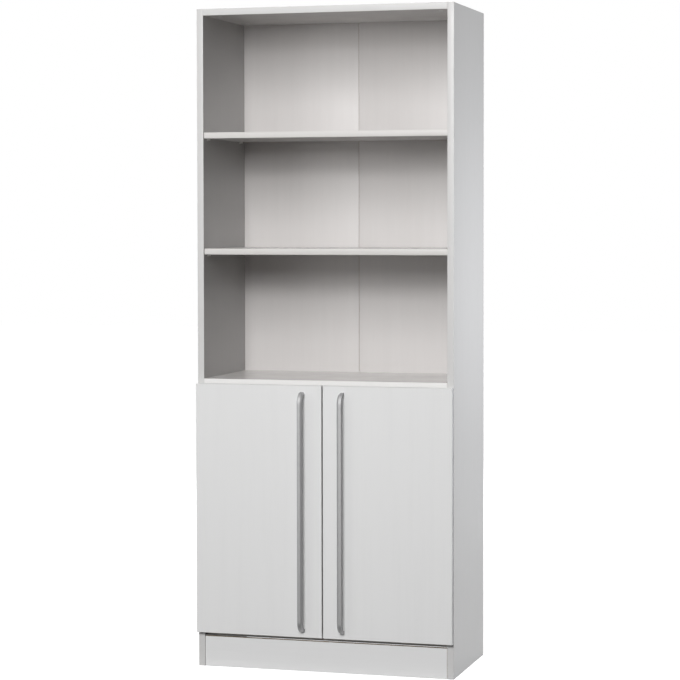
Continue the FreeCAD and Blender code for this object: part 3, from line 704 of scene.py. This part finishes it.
def makePlinth():
    plinth = makeBoard("plinthBoard", (-plinthBoard["half"], plinthBoard["front"], 0),
                       (plinthBoard["half"], plinthBoard["rear"], plinthBoard["high"]),
                       (plinthFace, plinthBand, bandGlue, rawCore), ("base",),
                       ("top", "left", "right"))
    pegs = cabinet["plinthPegs"]
    carve(plinth, [bore("dowelEnd", (side * fixedBoard["half"], pegs["y"], z), "X", -side)
                   for side in (-1, 1) for z in pegs["heights"]])
    dress(plinth, "carcass", None, "plinth_board")


makePlinth()
print("boards ready")


# Back: two hardboards, white in front and brown behind, with a strip over their seam
back = {"outer": 0.3877, "seam": 0.0005, "front": 0.2194, "rear": 0.2224, "lift": 0.0003,
        "top": 1.9877, "arris": 0.0002, "screws": (-0.33, -0.19, -0.05, 0.05, 0.19, 0.33),
        "screwHeight": 0.870}


def makeBack(node, low, high):
    panel = addBlock(node + "Hardboard", (low, back["front"], groove["low"] + back["lift"]),
                     (high, back["rear"], back["top"]))
    roundEdges(panel, back["arris"], 2, lambda a, b: True)
    addMaterials(panel, (backFront, backRear))
    for face in panel.data.polygons:
        face.material_index = 0 if face.normal.y < -0.5 else 1
    carve(panel, [bore("backScrew", (x, back["rear"], back["screwHeight"]), "Y", -1)
                  for x in back["screws"] if low < x < high])
    dress(panel, "carcass", None, node)


seamStrip = {"half": 0.015, "rear": 0.2232, "low": 0.1126, "high": 1.9797,
             "flute": (0.0115, 0.0125), "fluteDeep": 0.0003, "arris": 0.0002}


def makeSeamStrip():
    half = seamStrip["half"]
    strip = addBlock("backJointStrip", (-half, back["rear"], seamStrip["low"]),
                     (half, seamStrip["rear"], seamStrip["high"]))
    inner, outer = seamStrip["flute"]
    for x in (-outer, -inner, inner, outer):
        bisectAt(strip, (x, 0, 0), (1, 0, 0))
    pickFaces(strip, lambda centre, facing: facing.y > 0.5 and inner < abs(centre.x) < outer)
    bpy.ops.transform.translate(value=(0, -seamStrip["fluteDeep"], 0))
    objectMode()
    roundEdges(strip, seamStrip["arris"], 2, lambda a, b: along(2)(a, b)
               and a.y > seamStrip["rear"] - near and abs(abs(a.x) - half) < near)
    dress(strip, "carcass", stripWhite, "back_joint_strip")


makeBack("back_panel_left", -back["outer"], -back["seam"])
makeBack("back_panel_right", back["seam"], back["outer"])
makeSeamStrip()
print("back ready")


# Doors: banded on all four edges, bored behind for the cups
leaf = {"outer": 0.3995, "meeting": 0.002, "low": 0.106, "high": 0.866,
        "flange": (0.0065, 0.0367), "flangeHalf": 0.0291, "flangeDeep": 0.0013}
handle = {"inset": 0.0615, "wide": 0.014, "deep": 0.010, "reach": 0.035, "low": 0.123,
          "high": 0.847, "bevel": (0.005, 0.004), "round": 0.0007, "steps": 14,
          "screws": (0.128, 0.842)}


def makeDoor(side, word):
    rear = cabinet["doorBack"]
    low, high = sorted((side * leaf["outer"], side * leaf["meeting"]))
    # the door's four edges take the darker band: painted shade
    panel = makeBoard(word + "DoorBoard", (low, cabinet["doorFace"], leaf["low"]),
                      (high, rear, leaf["high"]), (doorBoard, doorBandPaintedShade, bandGlue, rawCore),
                      ("left", "right", "base", "top"), ())
    low, high = sorted(side * (cabinet["half"] - inset) for inset in leaf["flange"])
    carve(panel, [addBlock("flange", (low, rear - leaf["flangeDeep"], z - leaf["flangeHalf"]),
                           (high, rear + over, z + leaf["flangeHalf"]))
                  for z in hinge["heights"]])
    cutters = []
    seats = hinge["cupScrews"]
    for z in hinge["heights"]:
        cutters.append(bore("cup", (side * hinge["cupMiddle"], rear, z), "Y", -1))
        cutters += [bore("cupScrew", (side * seats["x"], rear, z + rise), "Y", -1)
                    for rise in seats["rises"]]
    cutters += [bore("handleScrew", (side * handle["inset"], rear, z), "Y", -1)
                for z in handle["screws"]]
    carve(panel, cutters)
    dress(panel, word + "_leaf", None, word + "_door")


# Bow handles: the bar's section is swept from the door, round a bend, up and back
def makeHandle(side, word):
    x = side * handle["inset"]
    half = handle["wide"] / 2
    face = cabinet["doorFace"]
    pickNothing()
    bpy.ops.mesh.primitive_plane_add(
        size=1, location=(x, face, handle["low"] + handle["deep"] / 2),
        rotation=(math.pi / 2, 0, 0))
    bar = named(word + "BowHandle")
    bar.scale = (handle["wide"], handle["deep"], 1)
    applyPlace(bar)
    # the front corner nearer the other door is cut off
    wide, deep = handle["bevel"]
    corner = Vector((x - side * half, face, handle["low"]))
    first = corner + Vector((side * wide, 0, 0))
    slope = Vector((-side * wide, 0, deep))
    outward = slope.cross(Vector((0, 1, 0))).normalized()
    if outward.dot(corner - first) < 0:
        outward.negate()
    bisectAt(bar, first, outward, clear_outer=True)
    pickPoints(bar, lambda point: True)
    bpy.ops.mesh.bevel(offset=handle["round"], segments=3, profile=0.5, affect="VERTICES")
    objectMode()
    pickWhole(bar)
    reach = handle["reach"]
    bend = {"steps": handle["steps"], "angle": math.pi / 2, "axis": (1, 0, 0)}
    bpy.ops.mesh.spin(center=(x, face, handle["low"] + reach), **bend)
    straight = handle["high"] - handle["low"] - 2 * reach
    bpy.ops.mesh.extrude_region_move(TRANSFORM_OT_translate={"value": (0, 0, straight)})
    bpy.ops.mesh.spin(center=(x, face, handle["high"] - reach), **bend)
    bpy.ops.mesh.select_all(action="SELECT")
    bpy.ops.mesh.remove_doubles(threshold=near)
    bpy.ops.mesh.normals_make_consistent(inside=False)
    objectMode()
    dress(bar, word + "_leaf", handleMetal, word + "_handle", angle=25)


for side, word in ((-1, "left"), (1, "right")):
    makeDoor(side, word)
    makeHandle(side, word)
print("doors and handles ready")


# Fittings are modelled once and copied to their places. Screws first, head up at the origin
screwKinds = {
    "handle": {"head": 0.0040, "rise": 0.0016, "dome": 0.0009,
               "shank": 0.0020, "reach": 0.0255, "pitch": 0.0012},
    "arm": {"head": 0.0040, "rise": 0.0018, "dome": 0.0010,
            "shank": 0.0020, "reach": 0.0090, "pitch": 0.0009},
    "cup": {"head": 0.0032, "rise": 0.0012, "dome": 0.0007,
            "shank": 0.00175, "reach": 0.0100, "pitch": 0.0014},
    "plate": {"head": 0.0032, "rise": 0.0016, "dome": 0.0004,
              "shank": 0.00175, "reach": 0.0145, "pitch": 0.0014, "neck": 0.0022},
    "back": {"head": 0.0030, "rise": 0.0012, "dome": 0.0003,
             "shank": 0.0015, "reach": 0.0160, "pitch": 0.0012, "neck": 0.0015},
}
# Shares of the head, its rise and the shank
screwShape = {"slotArm": 0.62, "slotHalf": 0.17, "slotFloor": 0.35, "threaded": 0.75,
              "root": 0.72, "tip": 0.3, "seat": 0.0001}


def makeScrew(kind):
    size = screwKinds[kind]
    rise, reach = size["rise"], size["reach"]
    head = addRod(kind + "Screw", (0, 0, rise / 2), size["head"], rise, sides=32)
    if "neck" in size:
        pickFaces(head, lambda centre, facing: facing.z < -0.5)
        share = size["neck"] / size["head"]
        resizePicked(share, share, 1)
    roundEdges(head, size["dome"], 4, lambda a, b: min(a.z, b.z) > rise - near)
    arm, slit = size["head"] * screwShape["slotArm"], size["head"] * screwShape["slotHalf"]
    for x, y in ((arm, slit), (slit, arm)):
        carve(head, [addBlock("slot", (-x, -y, rise * screwShape["slotFloor"]), (x, y, rise * 2))])
    seat = screwShape["seat"]
    shank = addRod("shank", (0, 0, -reach / 2 + seat), size["shank"], reach + 2 * seat, sides=16)
    half = size["pitch"] / 2
    for step in range(1, int(reach * screwShape["threaded"] / half)):
        bisectAt(shank, (0, 0, -reach + step * half), (0, 0, 1))
    tip = -reach + 10 * near
    pickPoints(shank, lambda point: tip < point.z < -reach * (1 - screwShape["threaded"])
               and round((point.z + reach) / half) % 2 == 0)
    resizePicked(screwShape["root"], screwShape["root"], 1)
    pickPoints(shank, lambda point: point.z < tip)
    resizePicked(screwShape["tip"], screwShape["tip"], 1)
    return joinPieces(kind + "Screw", [head, shank])


screws = {kind: makeScrew(kind) for kind in screwKinds}

# Shelf pins: a stem with a collar, flattened where the shelf lies on it
pin = {"stem": 0.0025, "bore": 0.010, "out": 0.009, "stemRound": 0.0005,
       "collar": 0.004, "collarDepth": 0.0012, "collarRound": 0.0003}


def makePins(node, shelf):
    base = cabinet["shelves"][shelf]
    z = base - cabinet["pinDrop"]
    pins = []
    for side in (-1, 1):
        wall = side * cabinet["inner"]
        inside = wall + side * pin["bore"]
        outside = wall - side * pin["out"]
        for y in cabinet["pinRows"]:
            stem = addRod("stem", ((inside + outside) / 2, y, z), pin["stem"],
                          pin["bore"] + pin["out"], "X", 32)
            roundEdges(stem, pin["stemRound"], 3, endRim(0))
            collar = addRod("collar", (wall - side * pin["collarDepth"] / 2, y, z),
                            pin["collar"], pin["collarDepth"], "X", 40)
            roundEdges(collar, pin["collarRound"], 2, endRim(0))
            bisectAt(collar, (0, 0, base), (0, 0, 1), clear_outer=True, use_fill=True)
            carve(stem, [collar], "UNION")
            pins.append(stem)
    dress(joinPieces(node + "Turned", pins), "carcass", pinSteel, node)


for shelf in cabinet["shelves"]:
    makePins(shelf + "_pins", shelf)

# Fluted dowels
dowel = {"radius": 0.004, "length": 0.030, "seat": 0.010, "flutes": 12, "fluteSides": 3,
         "chamfer": 0.0008, "plainEnd": 0.0005, "fluteShare": 0.92}


def makeDowels():
    sides = dowel["flutes"] * dowel["fluteSides"]
    peg = addRod("peg", (0, 0, 0), dowel["radius"], dowel["length"], "X", sides)
    roundEdges(peg, dowel["chamfer"], 2, endRim(0))
    pickPoints(peg, lambda point: abs(point.x) < dowel["length"] / 2 - dowel["plainEnd"]
               and round(math.atan2(point.z, point.y) / (2 * math.pi) * sides)
               % dowel["fluteSides"] == 0)
    resizePicked(1, dowel["fluteShare"], dowel["fluteShare"])
    pegs = cabinet["plinthPegs"]
    places = []
    for side in (-1, 1):
        x = side * (cabinet["inner"] + dowel["seat"] - dowel["length"] / 2)
        places += [at(x, y, base + cabinet["board"] / 2)
                   for base in cabinet["joints"].values() for y in cabinet["dowelRows"]]
        places += [at(x, pegs["y"], z) for z in pegs["heights"]]
    dress(copyAll(peg, "flutedDowels", places), "carcass", dowelBeech,
          "wood_dowels")
    bpy.data.objects.remove(peg)


def driveScrews(kind, name, body, node, turn, places):
    dress(copyAll(screws[kind], name, [at(*place) @ turn for place in places]),
          body, zincPlate, node)


makeDowels()
driveScrews("back", "backBoardScrews", "carcass", "back_screws", facingWay("Y", 1),
            [(x, back["rear"], back["screwHeight"]) for x in back["screws"]])

# Concealed hinge for the right side; the left one is its mirror image
plate = {"wing": ((0.378, -0.1445, -0.025), (0.380, -0.1225, 0.025)), "wingRound": 0.0055,
         "block": ((0.3623, -0.1325, -0.006), (0.3785, -0.1065, 0.006)), "blockRound": 0.0015,
         "soft": 0.0004, "armHole": (0.370, 0.0020, 0.018), "screwHole": (0.379, 0.00185, 0.006)}


def makePlate():
    wing = addBlock("wing", *plate["wing"])
    roundEdges(wing, plate["wingRound"], 5, along(0))
    block = addBlock("block", *plate["block"])
    roundEdges(block, plate["blockRound"], 3, along(0))
    carve(wing, [block], "UNION")
    softenEdges(wing, plate["soft"])
    x, radius, length = plate["armHole"]
    cutters = [addRod("hole", (x, hinge["armScrew"], 0), radius, length, "X", 24)]
    x, radius, length = plate["screwHole"]
    cutters += [addRod("hole", (x, hinge["plateScrews"]["y"], z), radius, length, "X", 24)
                for z in hinge["plateScrews"]["rises"]]
    carve(wing, cutters)
    return wing


hingeArm = {"near": 0.360, "far": 0.376, "nose": -0.1495, "tail": -0.1025, "web": 0.002,
            "mouth": -0.1375, "noseRound": 0.0045, "tailRound": 0.0020, "spineRound": 0.0009,
            "soft": 0.00025, "screwHole": (0.0026, 0.006),
            "cutFrom": (0.350, -0.160), "cutTo": (0.380, -0.090), "pinBore": 0.020}


def makeArm():
    inner, outer = hinge["cheeks"]
    x, nose, tail = hingeArm["near"], hingeArm["nose"], hingeArm["tail"]
    arm = addBlock("arm", (x, nose, -outer), (hingeArm["far"], tail, outer))
    roundEdges(arm, hingeArm["noseRound"], 5,
               lambda a, b: along(2)(a, b) and a.y < nose + near)
    roundEdges(arm, hingeArm["tailRound"], 4,
               lambda a, b: along(2)(a, b) and a.y > tail - near)
    roundEdges(arm, hingeArm["spineRound"], 3,
               lambda a, b: endRim(2)(a, b) and max(a.x, b.x) < x + near)
    (x0, y0), (x1, y1) = hingeArm["cutFrom"], hingeArm["cutTo"]
    carve(arm, [addBlock("channel", (x + hingeArm["web"], y0, -inner), (x1, y1, inner))])
    carve(arm, [addBlock("mouth", (x0, y0, -inner), (x1, hingeArm["mouth"], inner))])
    radius, length = hingeArm["screwHole"]
    carve(arm, [addRod("bore", (*hinge["armPin"], 0), hinge["pinHole"], hingeArm["pinBore"],
                       "Z", 24),
                addRod("hole", (x, hinge["armScrew"], 0), radius, length, "X", 24)])
    softenEdges(arm, hingeArm["soft"])
    return arm


hingeLink = {"bends": (hinge["armPin"], (0.3725, -0.1665), (0.3745, -0.1735),
                       (0.3765, -0.1801), (0.381, -0.1835), hinge["cupPin"]),
             "wide": 0.012, "thick": 0.0024, "bendRound": 0.0015, "soft": 0.0004,
             "rivet": (0.0015, 0.0166), "eye": (0.003, 0.012), "rim": 0.0003}


def makeLink():
    bends, wide = hingeLink["bends"], hingeLink["wide"]

    def atInnerBend(point):
        nearest = min(bends, key=lambda bend: math.dist(bend, (point.x, point.y)))
        return nearest not in (bends[0], bends[-1])

    pickNothing()
    bpy.ops.mesh.primitive_plane_add(size=wide, rotation=(0, math.pi / 2, 0))
    link = named("link")
    applyPlace(link)
    # one edge of the plane is kept and drawn from bend to bend
    pickPoints(link, lambda point: point.y > 0)
    bpy.ops.mesh.delete(type="VERT")
    objectMode()
    pickPoints(link, lambda point: True)
    bpy.ops.transform.translate(value=(bends[0][0], bends[0][1] + wide / 2, 0))
    for (x0, y0), (x1, y1) in zip(bends, bends[1:]):
        bpy.ops.mesh.extrude_region_move(TRANSFORM_OT_translate={"value": (x1 - x0, y1 - y0, 0)})
    objectMode()
    pickPoints(link, atInnerBend)
    bpy.ops.mesh.select_mode(type="EDGE")
    bpy.ops.mesh.bevel(offset=hingeLink["bendRound"], segments=3, affect="EDGES")
    objectMode()
    applyModifier(link, "SOLIDIFY", thickness=hingeLink["thick"], offset=0)
    fixNormals(link)
    softenEdges(link, hingeLink["soft"])
    parts = [link]
    for place, kind, sides in (
            (bends[0], "rivet", 24), (bends[-1], "rivet", 24), (bends[0], "eye", 32)):
        part = addRod(kind, (*place, 0), *hingeLink[kind], "Z", sides)
        roundEdges(part, hingeLink["rim"], 2, endRim(2))
        parts.append(part)
    return joinPieces("link", parts)


# Places in y are measured from the back of the door
hingeCup = {"radius": 0.0174, "deep": 0.0115, "footRound": 0.0015,
            "flange": (0.3634, 0.3934), "flangeHalf": 0.029, "flangeThick": 0.0012,
            "flangeRound": 0.0085, "well": (0.0166, 0.0117), "wellMiddle": 0.0048,
            "wellRound": 0.0012, "screwHole": (0.00185, 0.008),
            "lug": (0.3875, 0.3931), "lugDeep": (0.0110, 0.0004), "lugRound": 0.0015,
            "lugLimit": (0.005, 0.0170, 0.020), "pinBore": 0.030}


def makeCup():
    rear = cabinet["doorBack"]
    middle, deep = hinge["cupMiddle"], hingeCup["deep"]
    pot = addRod("cup", (middle, rear - deep / 2, 0), hingeCup["radius"], deep, "Y", 64)
    roundEdges(pot, hingeCup["footRound"], 4, lambda a, b: max(a.y, b.y) < rear - deep + near)
    low, high = hingeCup["flange"]
    half = hingeCup["flangeHalf"]
    flange = addBlock("flange", (low, rear - hingeCup["flangeThick"], -half), (high, rear, half))
    roundEdges(flange, hingeCup["flangeRound"], 6, along(1))
    carve(pot, [flange], "UNION")
    radius, length = hingeCup["well"]
    centre = rear - hingeCup["wellMiddle"]
    well = addRod("well", (middle, centre, 0), radius, length, "Y", 64)
    roundEdges(well, hingeCup["wellRound"], 4, lambda a, b: max(a.y, b.y) < centre)
    carve(pot, [well])
    radius, length = hingeCup["screwHole"]
    carve(pot, [addRod("hole", (hinge["cupScrews"]["x"], rear, z), radius, length, "Y", 24)
                for z in hinge["cupScrews"]["rises"]])
    parts = [pot]
    inner, outer = hinge["cheeks"]
    start, end = hingeCup["lug"]
    foot, brim = hingeCup["lugDeep"]
    for low, high in ((-outer, -inner), (inner, outer)):
        lug = addBlock("lug", (start, rear - foot, low), (end, rear - brim, high))
        roundEdges(lug, hingeCup["lugRound"], 3,
                   lambda a, b: along(2)(a, b) and a.y > rear - brim - near)
        drop, radius, length = hingeCup["lugLimit"]
        carve(lug, [addRod("limit", (middle, rear - drop, 0), radius, length, "Y", 64)],
              "INTERSECT")
        carve(lug, [addRod("bore", (*hinge["cupPin"], 0), hinge["pinHole"], hingeCup["pinBore"],
                           "Z", 24)])
        parts.append(lug)
    return joinPieces("cup", parts)


def hangDoor(side, word):
    rear = cabinet["doorBack"]
    mirror = Matrix.Diagonal((side, 1, 1, 1))
    for kind, (source, body) in hingeParts.items():
        node = "%s_hinge_%s" % (word, kind)
        rides = body if body == "carcass" else "%s_%s" % (word, body)
        places = [at(0, 0, z) @ mirror for z in hinge["heights"]]
        dress(copyAll(source, node + "Pressed", places), rides, nickel, node,
              angle=40)
    inward, backward = facingWay("X", -side), facingWay("Y", 1)
    own = word + "_leaf"
    heights, plates, cups = hinge["heights"], hinge["plateScrews"], hinge["cupScrews"]
    for kind, name, body, turn, places in (
            ("plate", "PlateWoodScrews", "carcass", inward,
             [(side * hinge["plateFace"], plates["y"], z + rise)
              for z in heights for rise in plates["rises"]]),
            ("arm", "ArmMachineScrews", "carcass", inward,
             [(side * hingeArm["near"], hinge["armScrew"], z) for z in heights]),
            ("cup", "CupWoodScrews", own, backward,
             [(side * cups["x"], rear, z + rise) for z in heights for rise in cups["rises"]]),
            ("handle", "HandleFixingScrews", own, backward,
             [(side * handle["inset"], rear, z) for z in handle["screws"]])):
        driveScrews(kind, word + name, body, "%s_%s_screws" % (word, kind), turn, places)


hingeParts = {"plates": (makePlate(), "carcass"), "arms": (makeArm(), "carcass"),
              "links": (makeLink(), "links"), "cups": (makeCup(), "leaf")}
for side, word in ((-1, "left"), (1, "right")):
    hangDoor(side, word)
for source in [part for part, body in hingeParts.values()] + list(screws.values()):
    bpy.data.objects.remove(source)

# Soft domed bumpers that meet the fixed shelf's front edge
bumper = {"places": (0.030, 0.340), "height": 0.8605, "radius": 0.004, "thick": 0.0017,
          "dome": 0.0011}


def makeBumpers(side, word):
    rear, thick = cabinet["doorBack"], bumper["thick"]
    domes = []
    for x in bumper["places"]:
        dome = addRod("dome", (side * x, rear + thick / 2, bumper["height"]),
                      bumper["radius"], thick, "Y", 40)
        roundEdges(dome, bumper["dome"], 5, lambda a, b: min(a.y, b.y) > rear + thick - near)
        domes.append(dome)
    dress(joinPieces(word + "Bumpers", domes), word + "_leaf", gel,
          word + "_door_bumpers")


makeBumpers(-1, "left")
makeBumpers(1, "right")
print("fittings ready")

# The cam bolts and discs keep the CAD's own shape
for node, finish in (("cam_bolts", zincPlate), ("cam_discs", dieCast)):
    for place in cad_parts[node].material_slots:
        place.material = finish

# Lamps: place, aim, width, height, power and tint. Two small ones stand beside the outer faces
lamps = {
    "NearSoftbox": ((0.30, -4.31, 2.36), (0, 0, 1.0), 1.6, 1.0, 68),
    "TopSoftbox": ((0.3, -1.70, 4.30), (0, -0.2, 0.8), 2.4, 1.2, 18),
    "FarSoftbox": ((0.82, -11.65, 6.70), (0, 0, 1.0), 4.4, 5.2, 785),
    "LeftSoftbox": ((-2.60, -3.71, 1.20), (0, 0, 0.8), 1.6, 1.6, 19),
    "SideSoftbox": ((1.36, 0.12, 1.17), (0.4, 0.12, 1.17), 0.3, 0.6, 8.3, (0.93, 0.955, 1.0)),
    "FarSideSoftbox": ((-1.36, 0.12, 1.17), (-0.4, 0.12, 1.17), 0.3, 0.6, 6.0),
    "RearSoftbox": ((-1.5, 4.5, 2.6), (0, 0.2, 1.0), 2.0, 2.0, 110),
}


def addLamp(name, place, aim, wide, tall, power, tint=(1, 1, 1)):
    bpy.ops.object.light_add(type="AREA", location=place)
    lamp = named(name)
    light = lamp.data
    light.shape = "SQUARE" if wide == tall else "RECTANGLE"
    light.size, light.size_y = wide, tall
    light.energy, light.color = power, tint
    lamp.rotation_euler = (Vector(aim) - Vector(place)).to_track_quat("-Z", "Y").to_euler()


for name, settings in lamps.items():
    addLamp(name, *settings)

# Grey cards that only show as soft reflections in the bare metal: place, turn, size and strength
standing = math.pi / 2
cards = {
    "FrontCard": ((-0.68, -3.2, 0.65), (standing, 0, 0), (4.64, 1.3), 0.40),
    "RightCard": ((2.3, -1.9, 0.9), (standing, 0, math.radians(62)), (3.6, 2.6), 0.03),
    "LowCard": ((-0.3, -1.95, 0.004), (0, 0, 0), (4.2, 2.4), 0.22),
    "FootCard": ((0, -0.50, 0.004), (0, 0, 0), (1.6, 0.5), 0.06),
}
white = (1, 1, 1, 1)


def emptyTree(owner):
    owner.use_nodes = True
    owner.node_tree.nodes.clear()
    return owner.node_tree


def addCard(name, place, turn, size, strength):
    bpy.ops.mesh.primitive_plane_add(size=1, location=place, rotation=turn)
    card = named(name)
    card.scale = (*size, 1)
    applyPlace(card)
    card.visible_camera = card.visible_diffuse = False
    card.visible_transmission = card.visible_shadow = False
    paint = bpy.data.materials.new(name)
    tree = emptyTree(paint)
    glow = addNode(tree, "Emission", Color=white, Strength=strength)
    leave = addNode(tree, "OutputMaterial")
    tree.links.new(glow.outputs[0], leave.inputs["Surface"])
    card.data.materials.append(paint)


for name, settings in cards.items():
    addCard(name, *settings)


# The white air and floor are there for the eye, for mirrors and for glass
def seenDirectly(tree):
    path = addNode(tree, "LightPath")
    seen = path.outputs["Is Camera Ray"]
    for kind in ("Is Glossy Ray", "Is Transmission Ray"):
        either = addNode(tree, "Math", operation="MAXIMUM")
        tree.links.new(seen, either.inputs[0])
        tree.links.new(path.outputs[kind], either.inputs[1])
        seen = either.outputs[0]
    return seen


def chooseBySight(tree, unseen, seen, output):
    choose = addNode(tree, "MixShader")
    leave = addNode(tree, output)
    tree.links.new(seenDirectly(tree), choose.inputs[0])
    tree.links.new(unseen.outputs[0], choose.inputs[1])
    tree.links.new(seen.outputs[0], choose.inputs[2])
    tree.links.new(choose.outputs[0], leave.inputs["Surface"])


studio = {"fill": 0.0, "air": 1.0, "floorSize": 40, "floorWhite": 0.955, "floorFade": (0.9, 3.5),
          "floorDull": (0.16, 0.16, 0.16, 1), "floorLit": (0.45, 0.45, 0.45, 1)}


def makeAir():
    world = bpy.data.worlds.new("StudioAir")
    bpy.context.scene.world = world
    tree = emptyTree(world)
    fill = addNode(tree, "Background", Color=white, Strength=studio["fill"])
    air = addNode(tree, "Background", Color=white, Strength=studio["air"])
    chooseBySight(tree, fill, air, "OutputWorld")


def makeFloor():
    bpy.ops.mesh.primitive_plane_add(size=studio["floorSize"])
    floor = named("studioFloor")
    paint = bpy.data.materials.new("PaleFloor")
    tree = emptyTree(paint)
    dull = addNode(tree, "BsdfDiffuse", Color=studio["floorDull"])
    lit = addNode(tree, "BsdfDiffuse", Color=studio["floorLit"])
    glow = addNode(tree, "Emission", Color=white)
    place = addNode(tree, "TexCoord")
    away = addNode(tree, "VectorMath", operation="LENGTH")
    start, end = studio["floorFade"]
    spread = addNode(tree, "MapRange", From_Min=start, From_Max=end,
                     To_Min=studio["floorWhite"], To_Max=1.0)
    pale = addNode(tree, "AddShader")
    tree.links.new(place.outputs["Object"], away.inputs[0])
    tree.links.new(away.outputs["Value"], spread.inputs["Value"])
    tree.links.new(spread.outputs["Result"], glow.inputs["Strength"])
    tree.links.new(glow.outputs[0], pale.inputs[0])
    tree.links.new(lit.outputs[0], pale.inputs[1])
    chooseBySight(tree, dull, pale, "OutputMaterial")
    floor.data.materials.append(paint)


makeAir()
makeFloor()

view = {"place": (1.9435, -6.6833, 1.372), "yaw": 0.2829, "pitch": 0.0378, "roll": -0.0015,
        "lens": 120.28, "sensor": 36, "shift": -0.0553, "far": 200}


def placeCamera():
    yaw, pitch, roll = view["yaw"], view["pitch"], view["roll"]
    ahead = Vector((-math.sin(yaw) * math.cos(pitch), math.cos(yaw) * math.cos(pitch),
                    -math.sin(pitch)))
    right = Vector((math.cos(yaw), math.sin(yaw), 0))
    up = right.cross(ahead)
    right, up = (right * math.cos(roll) + up * math.sin(roll),
                 up * math.cos(roll) - right * math.sin(roll))
    bpy.ops.object.camera_add(location=view["place"])
    camera = bpy.context.object
    camera.rotation_euler = Matrix((right, up, -ahead)).transposed().to_euler()
    optics = camera.data
    optics.lens = view["lens"]
    optics.sensor_width = view["sensor"]
    optics.sensor_fit = "HORIZONTAL"
    optics.shift_y = view["shift"]
    optics.clip_end = view["far"]
    bpy.context.scene.camera = camera


placeCamera()
bpy.context.scene.view_settings.view_transform = "Standard"
print("camera and lights ready")
